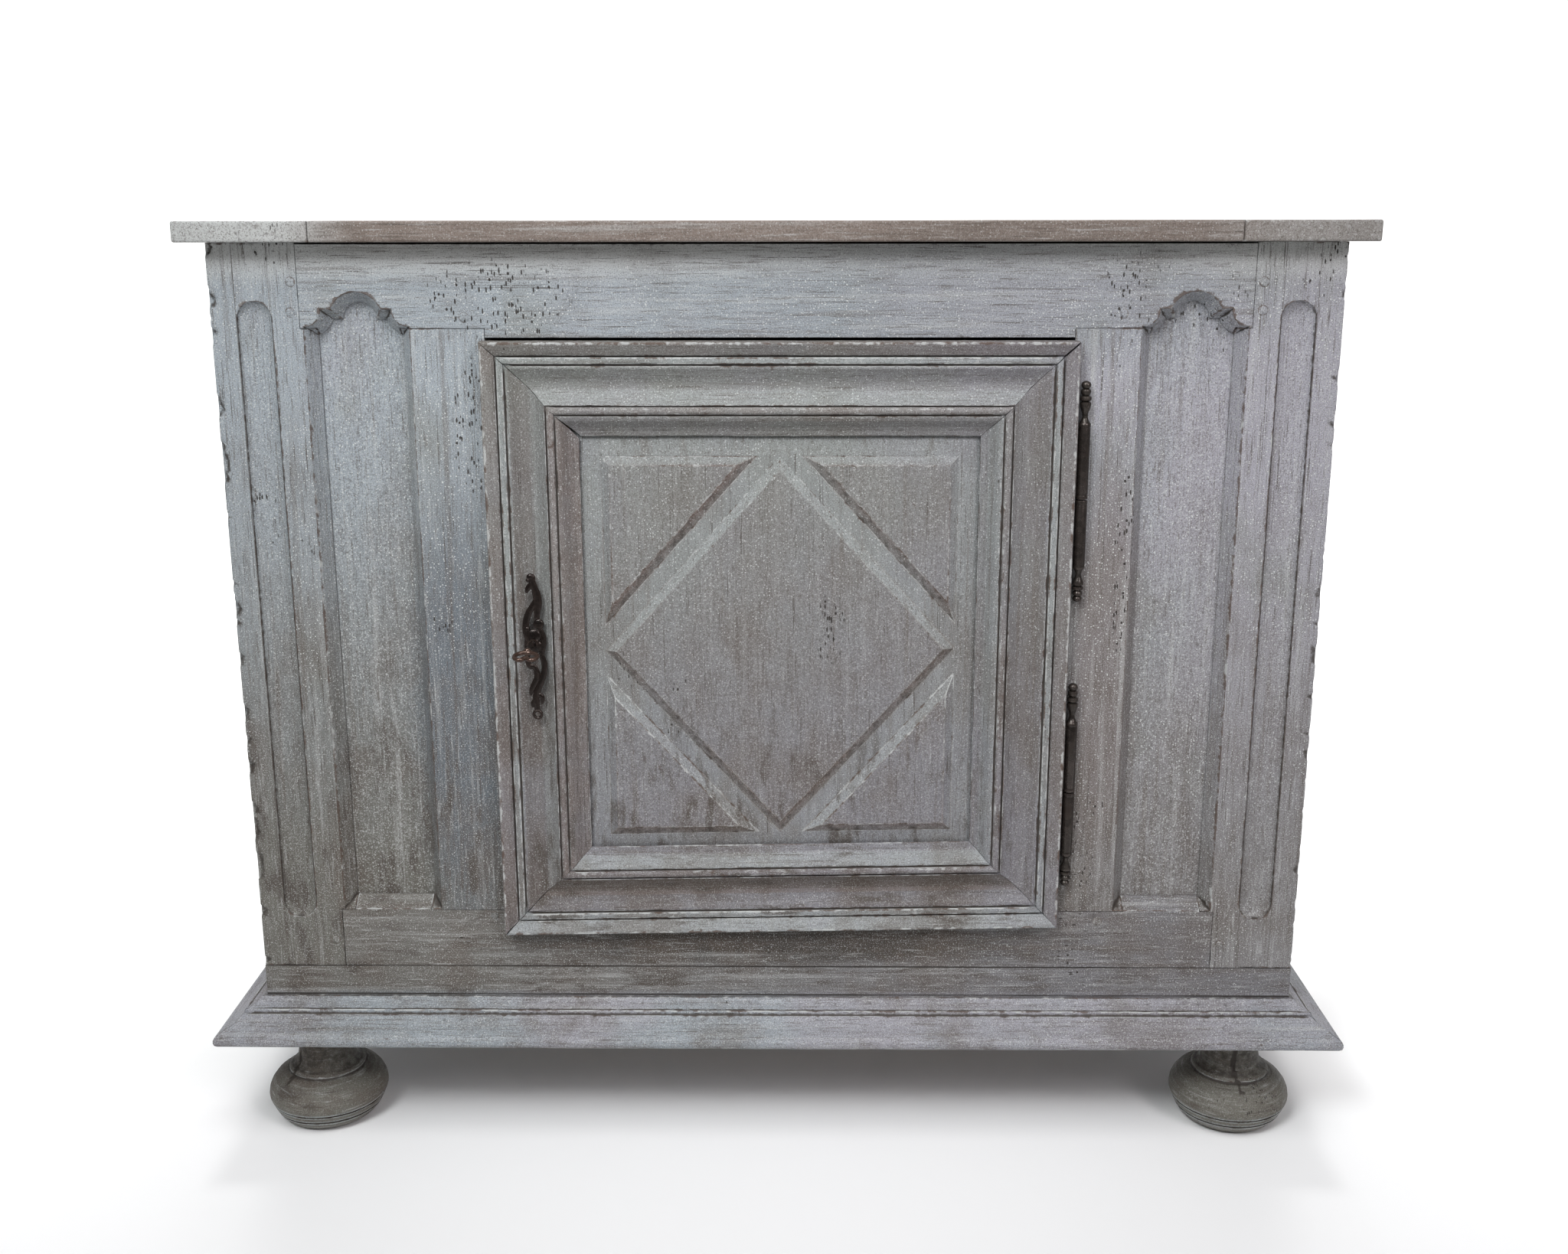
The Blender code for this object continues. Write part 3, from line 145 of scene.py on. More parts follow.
class Value:
    """Number that a node of a finish gives, with the sums that join such numbers."""

    def __init__(self, finish, socket):
        self.finish = finish
        self.socket = socket

    def maths(self, operation, other=0.0):
        return self.finish.value("ShaderNodeMath", {0: self, 1: other}, operation=operation)

    def __add__(self, other):
        return self.maths("ADD", other)

    def __sub__(self, other):
        return self.maths("SUBTRACT", other)

    def __mul__(self, other):
        return self.maths("MULTIPLY", other)

    def __or__(self, other):
        """Larger of the two."""
        return self.maths("MAXIMUM", other)

    def __abs__(self):
        return self.maths("ABSOLUTE")

    def band(self, low, high, first=0.0, last=1.0):
        """Smooth step between two limits."""
        sockets = {"Value": self, "From Min": low, "From Max": high, "To Min": first, "To Max": last}
        return self.finish.value("ShaderNodeMapRange", sockets, interpolation_type="SMOOTHSTEP")

    def line(self, place, width):
        """One along a thin line where the number passes a place."""
        return abs(self - place).band(width, width * 0.3)


# Reach of a patch into the piece, and the share of its radius where it starts to fade
PATCH_DEPTH = 0.3
PATCH_CORE = 0.35


class Finish:
    """Node tree of one procedural finish, built up coat by coat."""

    def __init__(self, name):
        self.material = bpy.data.materials.new(name)
        self.material.use_nodes = True
        self.tree = self.material.node_tree
        self.shader = self.tree.nodes["Principled BSDF"]
        self.place = self.node("ShaderNodeTexCoord").outputs["Object"]
        self.base = None

    def feed(self, node, key, value):
        """Link a number or socket to an input, or write a constant there."""
        value = value.socket if isinstance(value, Value) else value
        if isinstance(value, bpy.types.NodeSocket):
            self.tree.links.new(value, node.inputs[key])
        else:
            node.inputs[key].default_value = value

    def node(self, kind, sockets=None, **settings):
        made = self.tree.nodes.new(kind)
        for name, value in settings.items():
            setattr(made, name, value)
        for key, value in (sockets or {}).items():
            self.feed(made, key, value)
        return made

    def value(self, kind, sockets=None, output=0, **settings):
        return Value(self, self.node(kind, sockets, **settings).outputs[output])

    def scaled(self, scale, shift=(0, 0, 0)):
        sockets = {"Vector": self.place, "Scale": scale, "Location": shift}
        return self.node("ShaderNodeMapping", sockets).outputs["Vector"]

    def noise(self, scale, detail=3.0, seed=0.0):
        place = self.scaled(scale, (seed, seed, seed))
        sockets = {"Vector": place, "Scale": 1.0, "Detail": detail, "Roughness": 0.6}
        return self.value("ShaderNodeTexNoise", sockets)

    def stored(self, name):
        return self.value("ShaderNodeAttribute", output="Fac", attribute_name=name)

    def patch(self, across, up, half_width, half_height, depth=PATCH_DEPTH):
        """One inside an upright ellipse on the front, fading to nothing at its edge."""
        radii = (half_width, depth, half_height)
        shift = tuple(-middle / radius for middle, radius in zip((across, FACE_Y, up), radii))
        inside = self.scaled(tuple(1 / radius for radius in radii), shift)
        far = self.value("ShaderNodeVectorMath", {0: inside}, "Value", operation="LENGTH")
        return far.band(1.0, PATCH_CORE)

    def spots(self, scale, size, share):
        """Scattered holes: only some cells of the pattern hold one."""
        cells = self.node("ShaderNodeTexVoronoi", {"Vector": self.scaled(scale), "Scale": 1.0}).outputs
        chosen = self.value("ShaderNodeSeparateColor", {0: cells["Color"]})
        near = Value(self, cells["Distance"]).band(size, size * 0.5)
        return near * chosen.band(1 - share, 1 - share + 0.02)

    def mix(self, factor, first, second):
        return self.node("ShaderNodeMix", {0: factor, 6: first, 7: second}, data_type="RGBA").outputs[2]

    def cover(self, amount, over):
        """Lay a colour over what is there, as far as the amount says."""
        self.base = self.mix(amount, self.base, over)

    def coat(self, amount, name, share=1.0):
        """Lay a named colour, darkened or lightened by a share, over what is there."""
        self.cover(amount, colour(name, share))

    def relief(self, height, depth, strength):
        bump = self.node("ShaderNodeBump", {"Height": height, "Distance": depth, "Strength": strength})
        self.feed(self.shader, "Normal", bump.outputs["Normal"])

    def done(self, roughness, metallic=0.0):
        self.feed(self.shader, "Base Color", self.base)
        self.feed(self.shader, "Roughness", roughness)
        self.feed(self.shader, "Metallic", metallic)
        return self.material


def along(grain, across, lengthwise):
    """Pattern scale that runs along one axis, or round a turned piece."""
    if grain == "turned":
        return (lengthwise, lengthwise, across)
    return tuple(lengthwise if axis == grain else across for axis in AXES)


@dataclass
class Paint:
    """What sets one painted finish apart.

    The cool, warm and low tones are colour names with shares; the low tone is laid on towards the floor as
    dirt and as painted shade. Greened, streaked, fibrous and dotted say how strong its marks are. Bare and
    eaten are limits of the noise that lays bare wood and worm holes.
    """

    cool: tuple
    warm: tuple
    low: tuple
    greened: float = 0.5
    streaked: float = 0.34
    fibrous: float = 0.60
    dotted: float = 0.35
    bare: tuple = (0.48, 0.57)
    eaten: tuple = (0.57, 0.75, 0, 1.0)


PAINTS = {
    "grey_paint": Paint(("paint",), ("paint_warm",), ("paint_low",), dotted=1.0, bare=(0.36, 0.46)),
    "lower_paint": Paint(("paint_low", 1.30), ("paint_low", 1.20), ("paint_low", 1.08), dotted=0.9),
    "door_paint": Paint(
        ("paint_green", 0.80), ("paint_warm", 0.60), ("paint_warm", 0.50),
        streaked=0.12, fibrous=0.30, dotted=0.6, eaten=(0.62, 0.78, 0, 1.0),
    ),
    "foot_paint": Paint(("paint_green", 0.70), ("paint_low", 1.15), ("paint_low", 1.0)),
    "worn_top": Paint(("top", 0.90), ("top", 0.74), ("top", 0.8), greened=0.0, eaten=(0.60, 0.80, 0, 0.6)),
}

# Large stains, and the painted shadow under the door's lip: across, up, half width, half height and any
# other depth; then strength, colour and share
STAINS_AND_PAINTED_SHADOW = {
    "grey_paint": (
        (0.22, 1.00, 0.44, 0.10, 0.48, "paint", 0.66),
        (-0.36, 0.52, 0.085, 0.36, 0.75, "blue_stain", 1.0),
        (0.375, 0.60, 0.055, 0.36, 0.65, "brown_stain", 1.0),
    ),
    # Painted shadow on the bottom rail under the door's lip
    "lower_paint": ((0.0, 0.246, 0.42, 0.036, 1.0, "dirt", 0.45),),
    "worn_top": (
        (-0.60, TOP_Z, 0.17, 0.3, 0.9, 1.0, "fleck", 0.84),
        (0.63, TOP_Z, 0.20, 0.3, 0.9, 0.42, "fleck", 0.72),
    ),
}

# Places full of worm holes: across, up, half width and half height
EATEN = {
    "grey_paint": ((-0.30, 1.005, 0.11, 0.055), (0.390, 0.72, 0.016, 0.16), (-0.335, 0.86, 0.03, 0.10)),
    "door_paint": ((0.062, 0.635, 0.024, 0.06),),
}
PITTED = (0.062, 0.632, 0.020, 0.050)

# Heights between which the plinth's own paint gives way to that of the base above it
PLINTH_FADE = (0.176, 0.190)
# Heights under the top between which the rail is painted lighter: painted light that cancels the top's
# shadow
PAINTED_LIGHT_BAND = (TOP_Z - 0.052, TOP_Z - 0.008)
# Distances of the scribed lines of a stile from the middle, and their width
SCRIBED = (0.5487, 0.5863)
SCRIBED_WIDTH = 0.0008
# Open joints of the base: height and width
BASE_JOINTS = ((BASE_TOP, 0.0015), (PLINTH_TOP + 0.0008, 0.0018))


class WornPaint(Finish):
    """Worn paint over oak, with the patterns that its coats share."""

    def __init__(self, name, slot, grain):
        super().__init__(name)
        self.slot = slot
        self.grain = grain
        self.paint = PAINTS[slot]
        self.x = self.value("ShaderNodeSeparateXYZ", {0: self.place}, "X")
        self.z = self.value("ShaderNodeSeparateXYZ", {0: self.place}, "Z")
        self.clouds = self.noise((3.1, 3.1, 2.3), 4)
        self.tint = self.noise((9, 9, 5), 3, 8.0)
        self.mottle = self.noise((13, 13, 9), 6, 3.0)
        self.streaks = self.noise(along(grain, 105, 3.2), 4, 11.0)
        self.fibre = self.noise(along(grain, 420, 30), 5, 1.0)
        self.grit = self.noise((720, 720, 720), 2, 4.0)
        # How low a place lies, less so on the right: there the paint goes darker, as dirt and as painted
        # shade
        self.lowness = (self.z + self.clouds * 0.34).band(1.12, 0.46) * self.x.band(0.05, 0.55, 1.0, 0.66)

    def ground(self):
        """Cloudy tone, darker towards the floor as dirt and painted shade, with painted light, painted
        shadow and stains.
        """
        warmth = (self.x * 0.35 + self.clouds).band(0.36, 0.70)
        self.base = self.mix(warmth, colour(*self.paint.cool), colour(*self.paint.warm))
        self.coat(self.tint.band(0.52, 0.70, 0, self.paint.greened), "paint_green", 0.9)
        # Brown dirt and painted shade towards the floor
        self.coat(self.lowness * 0.95, *self.paint.low)
        if self.slot == "lower_paint":
            self.coat(self.x.band(-0.55, 0.50, 0.20, 0.80), "paint_warm", 0.48)
            cloudy = self.clouds.band(0.40, 0.62)
            plinth = self.mix(cloudy, colour("paint", 0.82), colour("paint_warm", 0.80))
            self.cover(self.z.band(PLINTH_FADE[1], PLINTH_FADE[0]), plinth)
        if self.slot == "grey_paint":
            # Painted light: the rail is lightened under the top, where the top's shadow falls
            self.coat(self.z.band(*PAINTED_LIGHT_BAND, 0, 0.90), "fleck", 1.08)
        # Large stains, and the painted shadow under the door's lip
        for *ellipse, strength, name, share in STAINS_AND_PAINTED_SHADOW.get(self.slot, ()):
            self.coat(self.patch(*ellipse) * strength, name, share)

    def soiling(self):
        """Stored stain, bloom and dark bands, partly painted shade and highlight, and dirt growing towards
        the floor.
        """
        # Mauve stain, which is painted shade on down-facing panel facets and in the coves
        self.coat(self.stored("stain") * self.mottle.band(0.30, 0.60, 0.35, 1.0), "mauve")
        # Bloom, and painted highlight on up-facing facets, on ridges and in parts of the coves
        self.coat(self.stored("bloom") * self.mottle.band(0.32, 0.56, 0.4, 1.0), "bloom")
        soiled_low = self.lowness * self.mottle.band(0.42, 0.62, 0, 0.40)
        self.coat(self.mottle.band(0.48, 0.80, 0, 0.30) + soiled_low, "dirt", 1.5)
        # Painted shade with some grime, in the moulding's coves and at its outer edge
        self.coat(self.stored("shade") * self.mottle.band(0.30, 0.60, 0.6, 1.0), "dirt", 1.1)

    def figure(self):
        """Streaks, blots, cracks, fibre and pores along the grain, with grit and white dots over them."""
        self.coat(self.streaks.band(0.53, 0.72, 0, self.paint.streaked), "fleck", 0.86)
        self.coat(self.streaks.band(0.45, 0.30, 0, 0.40), "dirt", 1.5)
        blots = self.noise(along(self.grain, 60, 18), 5, 6.0).band(0.52, 0.66, 0, 0.80)
        if self.slot == "lower_paint":
            blots = blots * self.z.band(*PLINTH_FADE)
        self.coat(blots * self.lowness.band(0.45, 1.0), "dirt", 0.8)
        cracks = self.noise(along(self.grain, 620, 13), 2, 13.0)
        self.coat(cracks.band(0.63, 0.70, 0, 0.75), "dirt", 0.7)
        self.coat(self.fibre.band(0.47, 0.28, 0, self.paint.fibrous), "dirt", 1.2)
        self.coat(self.fibre.band(0.54, 0.74, 0, 0.7 * self.paint.fibrous), "fleck", 0.9)
        pores = self.noise(along(self.grain, 1500, 120), 2, 2.0)
        self.coat(pores.band(0.62, 0.70, 0, 0.60), "dirt", 0.9)
        self.coat(self.grit.band(0.47, 0.32, 0, 0.60), "dirt", 1.1)
        self.coat(self.grit.band(0.54, 0.68, 0, 0.52 * self.paint.dotted), "fleck", 1.05)
        dots = self.spots((330, 330, 330), 0.32, 0.42) * self.tint.band(0.30, 0.62, 0.35, 0.95)
        self.coat(dots * self.lowness.band(0.3, 1.0, 1.0, 0.55) * self.paint.dotted, "fleck", 1.15)

    def worm_holes(self):
        """Dark holes, close together where the wood is eaten. Gives their pattern."""
        eaten = self.noise((6.5, 6.5, 6.5), 3, 5.0).band(*self.paint.eaten)
        for ellipse in EATEN.get(self.slot, ()):
            eaten = eaten | self.patch(*ellipse)
        bored = along("x" if self.slot == "lower_paint" else "z", 410, 130)
        holes = (self.spots(bored, 0.46, 0.26) | self.spots((250, 250, 190), 0.40, 0.10)) * (eaten | 0.12)
        self.coat(holes.band(0.20, 0.55, 0, 0.95), "dirt", 0.40)
        return holes

    def joinery(self):
        """Scribed lines of the stiles and open joints of the base."""
        if self.slot == "grey_paint" and self.grain == "z":
            inner, outer = (abs(self.x).line(place, SCRIBED_WIDTH) for place in SCRIBED)
            self.coat((inner | outer) * self.fibre.band(0.35, 0.55, 0.15, 0.6), "dirt", 0.9)
        if self.slot == "lower_paint":
            upper, lower = (self.z.line(height, width) for height, width in BASE_JOINTS)
            self.coat((upper | lower) * self.streaks.band(0.30, 0.55, 0.30, 0.9), "dirt", 0.35)

    def edges(self):
        """Edges rubbed pale or down to the wood, and dirt with painted shade in the hollows. Gives how
        rubbed they are.
        """
        ragged = (self.noise((120, 120, 120), 4, 7.0) - 0.5) * 2.4
        worn = (self.stored("wear") + ragged).band(0.60, 0.95)
        bare = self.noise((34, 34, 34), 3, 9.0).band(*self.paint.bare)
        self.cover(worn * 0.80, self.mix(bare, colour("fleck", 0.84), colour("bare")))
        # Dirt and painted shade in the hollows
        sunk = (self.stored("dirt") + ragged * 0.6).band(0.15, 0.75)
        self.coat(sunk * 0.95, "dirt", 0.55)
        return worn

    def door_marks(self):
        """Pits in the lozenge, and bare oak where the panel's back is unpainted."""
        pits = self.patch(*PITTED) * self.spots((300, 300, 150), 0.46, 0.5)
        self.coat(pits * 0.95, "dirt", 0.35)
        oak = self.mix(self.streaks.band(0.36, 0.62), colour("oak", 0.55), colour("oak", 1.1))
        oak = self.mix(self.fibre.band(0.50, 0.32, 0, 0.7), oak, colour("dirt", 0.9))
        self.cover(self.stored("unpainted"), oak)


def painted(name, slot, grain):
    """Worn paint over oak: its coats in order, and its relief."""
    finish = WornPaint(name, slot, grain)
    finish.ground()
    finish.soiling()
    finish.figure()
    holes = finish.worm_holes()
    finish.joinery()
    worn = finish.edges()
    if slot == "door_paint":
        finish.door_marks()
    height = finish.fibre * 0.6 + finish.grit * 0.25 - holes * 1.6 - worn * 0.25
    finish.relief(height, 0.0010, 0.8)
    return finish.done(finish.mottle.band(0.35, 0.7, 0.60, 0.86))


def bare_oak(name, grain):
    """Unpainted oak: dark figure along the grain, open pores and stains."""
    finish = Finish(name)
    figure = finish.noise(along(grain, 46, 2.2), 5)
    finish.base = finish.mix(figure.band(0.34, 0.66), colour("oak", 0.62), colour("oak", 1.18))
    fibre = finish.noise(along(grain, 480, 12), 3, 2.0)
    finish.coat(fibre.band(0.50, 0.32, 0, 0.7), "dirt", 0.9)
    stain = finish.noise((5, 5, 5), 5, 4.0)
    finish.coat(stain.band(0.52, 0.72, 0, 0.6), "dirt", 1.1)
    holes = finish.spots(along(grain, 120, 70), 0.28, 0.20)
    finish.coat(holes * 0.85, "dirt", 0.4)
    finish.coat(finish.stored("wear") * 0.45, "oak", 1.7)
    finish.relief(fibre - holes * 1.5, 0.0008, 0.7)
    return finish.done(stain.band(0.3, 0.7, 0.68, 0.88))


def metal(name, slot):
    """Dark hand-worked metal with rubbed high places and painted highlights, painted over where the brush
    caught it.
    """
    finish = Finish(name)
    cast = finish.noise((140, 140, 140), 5)
    finish.base = finish.mix(cast.band(0.36, 0.66), colour(slot, 0.65), colour(slot, 1.5))
    rust = finish.noise((60, 60, 60), 4, 3.0)
    finish.coat(rust.band(0.52, 0.70, 0, 0.6), "bare", 0.28)
    # High places: rubbed metal and painted highlight
    finish.coat(finish.stored("wear") * 0.50, slot, 6.0)
    finish.coat(finish.stored("dirt") * 0.7, "dirt", 0.25)
    finish.coat(finish.stored("handled") * 0.75, "copper")
    brushed = finish.stored("paint") * finish.noise((70, 70, 30), 4, 6.0).band(0.34, 0.52)
    finish.coat(brushed * 0.85, "paint_low", 1.1)
    finish.relief(cast, 0.0006, 0.6)
    return finish.done(rust.band(0.35, 0.7, 0.17, 0.36) + brushed * 0.3, 0.62)


def surface(slot, grain):
    """Finish of one slot with its grain along an axis, made once."""
    name = f"{slot}_{grain}"
    if name in bpy.data.materials:
        return bpy.data.materials[name]
    if slot == "raw_oak":
        return bare_oak(name, grain)
    if slot in ("iron", "bronze"):
        return metal(name, slot)
    return painted(name, slot, grain)


def piece(name, bm, slot, grain, body, nodes=(), smooth=32):
    """Finished object at the origin, riding on a body and standing for CAD nodes."""
    mesh = bpy.data.meshes.new(name)
    bm.to_mesh(mesh)
    bm.free()
    mesh.shade_smooth()
    mesh.set_sharp_from_angle(angle=math.radians(smooth))
    mesh.materials.append(surface(slot, grain))
    item = bpy.data.objects.new(name, mesh)
    bpy.context.scene.collection.objects.link(item)
    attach(item, body)
    if nodes:
        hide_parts(*nodes)


def dress(node, ending, bm, slot, grain="z", smooth=32):
    """Finished piece that stands for one CAD node and rides on its body."""
    piece(node + ending, bm, slot, grain, BODY_OF[node], [node], smooth)


def cad_copy(node):
    """Merged copy of a CAD node with its flat faces whole again."""
    bm = bmesh.new()
    bm.from_mesh(frame["nodes"][node].data)
    bmesh.ops.remove_doubles(bm, verts=bm.verts, dist=1e-6)
    bmesh.ops.dissolve_limit(bm, angle_limit=math.radians(0.5), verts=bm.verts, edges=bm.edges)
    return bm


def soften(bm, width, segments=1, chosen=None, angle=28):
    """Round the sharp edges, or the chosen ones among them."""
    edges = []
    for edge in bm.edges:
        if edge.is_manifold and edge.calc_face_angle(0) > math.radians(angle):
            if chosen is None or chosen(edge):
                edges.append(edge)
    if edges:
        bmesh.ops.bevel(
            bm, geom=edges, offset=width, offset_type="OFFSET", segments=segments, profile=0.5,
            affect="EDGES", clamp_overlap=True, material=-1, loop_slide=True,
        )


def cut(bm, place, normal):
    """Add an edge loop where a plane meets the piece."""
    geom = bm.verts[:] + bm.edges[:] + bm.faces[:]
    bmesh.ops.bisect_plane(bm, geom=geom, dist=1e-6, plane_co=place, plane_no=normal)


def reach(bm, axis):
    values = [vert.co[axis] for vert in bm.verts]
    return min(values), max(values)


def unit(axis):
    return Vector([index == axis for index in range(3)])


def slice_along(bm, axis, step):
    """Cut a long piece across, so that its edges can wander."""
    low, high = reach(bm, axis)
    count = max(1, round((high - low) / step))
    for i in range(1, count):
        cut(bm, unit(axis) * (low + (high - low) * (i + 0.25 * math.sin(7 * i)) / count), unit(axis))


# Distance of the extra lines beside an edge, and the length of edge that is worth them
MARGIN = 0.0024
LONG_EDGE = 0.05


def edge_lines(bm):
    """Planes beside every long straight edge, as axis and place."""
    runs = {}
    for edge in bm.edges:
        if not edge.is_manifold or edge.calc_face_angle(0) < math.radians(25):
            continue
        start, stop = (vert.co for vert in edge.verts)
        for axis in range(3):
            if abs(start[axis] - stop[axis]) < 1e-5:
                key = (axis, round(start[axis], 4))
                runs[key] = runs.get(key, 0) + edge.calc_length()
    lines = []
    for (axis, place), run in runs.items():
        if run > LONG_EDGE:
            lines += [(axis, place - MARGIN), (axis, place + MARGIN)]
    return sorted(lines)


def layer(bm, name):
    """Values stored on the vertices under a name, made where they are missing."""
    layers = bm.verts.layers.float
    return layers.get(name) or layers.new(name)


# How far wear, dirt and painted shade spread from an edge, and which share of them
SPREAD = 0.006
SPREAD_SHARE = 0.42
# Bend from which an outer edge counts before a hollow beside it
OUTER_BEND = 0.2
# Dirt in a tight joint
JOINT_DIRT = 0.20


def mark(bm, gain=1.6, least=0.10):
    """Store how proud or how sunk each vertex lies, for rubbed edges and for dirt and painted shade in
    hollows.
    """
    bm.normal_update()
    wear = layer(bm, "wear")
    dirt = layer(bm, "dirt")
    opened = bm.verts.layers.float.get("open_edge")
    for vert in bm.verts:
        bends = [edge.calc_face_angle_signed(0) for edge in vert.link_edges if edge.is_manifold]
        bend = max(bends, default=0)
        if bend <= OUTER_BEND:
            bend = max(bends, key=abs, default=0)
        vert[wear] = min(1.0, max(0.0, gain * (bend - least)))
        # Hollows get dirt and painted shade
        vert[dirt] = min(1.0, max(0.0, gain * (-bend - least)))
        if opened and vert[opened] < 0.5 and vert[wear] > 0:
            vert[wear] = 0.0
            vert[dirt] = JOINT_DIRT
    for held in (wear, dirt):
        beside = []
        for vert in bm.verts:
            near = [edge.other_vert(vert)[held] for edge in vert.link_edges if edge.calc_length() < SPREAD]
            beside.append((vert, SPREAD_SHARE * max(near, default=0.0)))
        for vert, amount in beside:
            vert[held] = max(vert[held], amount)


# Where a vertex leans this far from one of its faces, it lies on an edge that can chip
CHIPPED = 0.972
# Deepest bite that wear takes out of an edge
DEEPEST = 0.0050


def weather(bm, waver, chip=0.0, seed=0.0):
    """Draw every vertex in a little, and chip the edges here and there."""
    bm.normal_update()
    shift = Vector((seed, 0.7 * seed, 1.3 * seed))
    soil_and_painted_shade = layer(bm, "dirt")
    moves = []
    for vert in bm.verts:
        dip = waver * (0.5 + 0.5 * noise.noise(vert.co * 11 + shift))
        if chip and any(face.normal.dot(vert.normal) < CHIPPED for face in vert.link_faces):
            bite = noise.noise(vert.co * 70 + shift) + 0.5 * noise.noise(vert.co * 19 - shift)
            gone = min(DEEPEST, chip * max(0.0, bite - 0.12))
            if gone > 0.0014:
                vert[soil_and_painted_shade] = max(vert[soil_and_painted_shade], 0.55)
            dip += gone
        moves.append((vert, dip))
    for vert, dip in moves:
        vert.co -= vert.normal * dip


# Size of the outer corner of a stile, and how far its wear reaches along the front and along the side
CORNER_SIZE = 0.004
CORNER_REACH = (0.010, 0.013)


def nibble(bm, depth, seed):
    """Bite the outer corner of a stile away here and there, and leave the bites dark."""
    soil_and_painted_shade = layer(bm, "dirt")
    for vert in bm.verts:
        if abs(vert.co.x) < HALF - CORNER_SIZE or vert.co.y > FACE_Y + CORNER_SIZE:
            continue
        long_bite = noise.noise(Vector((seed, 0, 42 * vert.co.z)))
        short_bite = noise.noise(Vector((seed, 5, 118 * vert.co.z)))
        gone = min(DEEPEST, depth * max(0.0, long_bite + 0.6 * short_bite - 0.06))
        if gone > 0.0010:
            vert[soil_and_painted_shade] = max(vert[soil_and_painted_shade], 0.60)
        vert.co.x -= math.copysign(gone, vert.co.x)
        vert.co.y += 0.7 * gone


def corner_lines(lines, side):
    """Lines of a stile, with those at its outer corner moved to where the wear ends."""
    outer = (side, FACE_Y)
    kept = [(axis, place) for axis, place in lines if axis > 1 or abs(place - outer[axis]) > CORNER_SIZE]
    return kept + [(0, side - math.copysign(CORNER_REACH[0], side)), (1, FACE_Y + CORNER_REACH[1])]


def timber(node, slot, grain, chosen=None, chip=0.0, step=0.016, corner=None, rows=None, bites=0.0):
    """Worn copy of a squared timber or board: its joints stay tight, its open edges are rubbed."""
    size = sizes()
    bm = cad_copy(node)
    opened = layer(bm, "open_edge")
    for edge in bm.edges:
        square = [face for face in edge.link_faces if max(abs(part) for part in face.normal) > 0.999]
        if len(square) < 2 or (chosen and chosen(edge)):
            for vert in edge.verts:
                vert[opened] = 1.0
    lines = edge_lines(bm)
    if bites:
        lines = corner_lines(lines, math.copysign(HALF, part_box(node)[0].x))
    if chosen:
        soften(bm, corner or size.corner, 3, chosen)
    soften(bm, size.joint_edge, 1)
    for axis, place in lines:
        cut(bm, unit(axis) * place, unit(axis))
    if rows:
        slice_along(bm, 2, rows)
    slice_along(bm, AXES.index(grain), step)
    mark(bm, gain=4.0, least=0.25)
    seed = 0.37 * sum(ord(letter) for letter in node) % 50
    weather(bm, size.waver, chip, seed)
    if bites:
        nibble(bm, bites, seed)
    dress(node, "_worn", bm, slot, grain, 20)


def sweep(bm, rings, closed=False):
    """Solid drawn through matching rings of points by extruding the first one on."""
    order = bm.verts.layers.int.get("order") or bm.verts.layers.int.new("order")
    start = []
    for index, point in enumerate(rings[0]):
        vert = bm.verts.new(point)
        vert[order] = index
        start.append(vert)
    first = bm.faces.new(start)
    faces = [first]
    for ring in rings[1:]:
        made = bmesh.ops.extrude_face_region(bm, geom=faces)["geom"]
        if faces[0] is not first:
            bmesh.ops.delete(bm, geom=faces, context="FACES_ONLY")
        faces = [item for item in made if isinstance(item, bmesh.types.BMFace)]
        for item in made:
            if isinstance(item, bmesh.types.BMVert):
                item.co = ring[item[order]]
    if closed:
        bmesh.ops.delete(bm, geom=[first] + faces, context="FACES_ONLY")


def with_edges(profile, near=0.0012):
    """Profile with extra points close to its corners, so that wear keeps to them."""
    points = [Vector(profile[0])]
    for point in profile[1:]:
        here = Vector(point)
        before = points[-1].copy()
        run = (here - before).length
        if run > 3 * near:
            points.append(before.lerp(here, near / run))
            points.append(here.lerp(before, near / run))
        elif run > 1.4 * near:
            points.append(before.lerp(here, 0.5))
        points.append(here)
    return points


def close_up(bm):
    """Merge seams and poles, and turn all faces outwards."""
    bmesh.ops.remove_doubles(bm, verts=bm.verts, dist=2e-6)
    bmesh.ops.recalc_face_normals(bm, faces=bm.faces)


def in_metres(points):
    return [tuple(value / 1000 for value in point) for point in points]


def moulding_run(rings):
    """Length of moulding through matching rings, with its edges marked and its cut ends free of wear."""
    bm = bmesh.new()
    sweep(bm, rings)
    close_up(bm)
    mark(bm)
    wear = layer(bm, "wear")
    for face in bm.faces:
        if len(face.verts) > 4:
            for vert in face.verts:
                vert[wear] = 0.0
    return bm


def turned(bm, profile, matrix=Matrix(), steps=48):
    """Solid of revolution about Z from radius and height pairs, moved into place."""
    before = set(bm.verts)
    verts = [bm.verts.new((radius, 0, height)) for radius, height in profile]
    edges = [bm.edges.new(pair) for pair in zip(verts, verts[1:])]
    bmesh.ops.spin(
        bm, geom=verts + edges, cent=(0, 0, 0), axis=(0, 0, 1), dvec=(0, 0, 0), angle=math.tau,
        steps=steps, use_merge=True, use_duplicate=False,
    )
    made = [vert for vert in bm.verts if vert not in before]
    bmesh.ops.transform(bm, matrix=matrix, verts=made)
    bmesh.ops.remove_doubles(bm, verts=made, dist=2e-6)


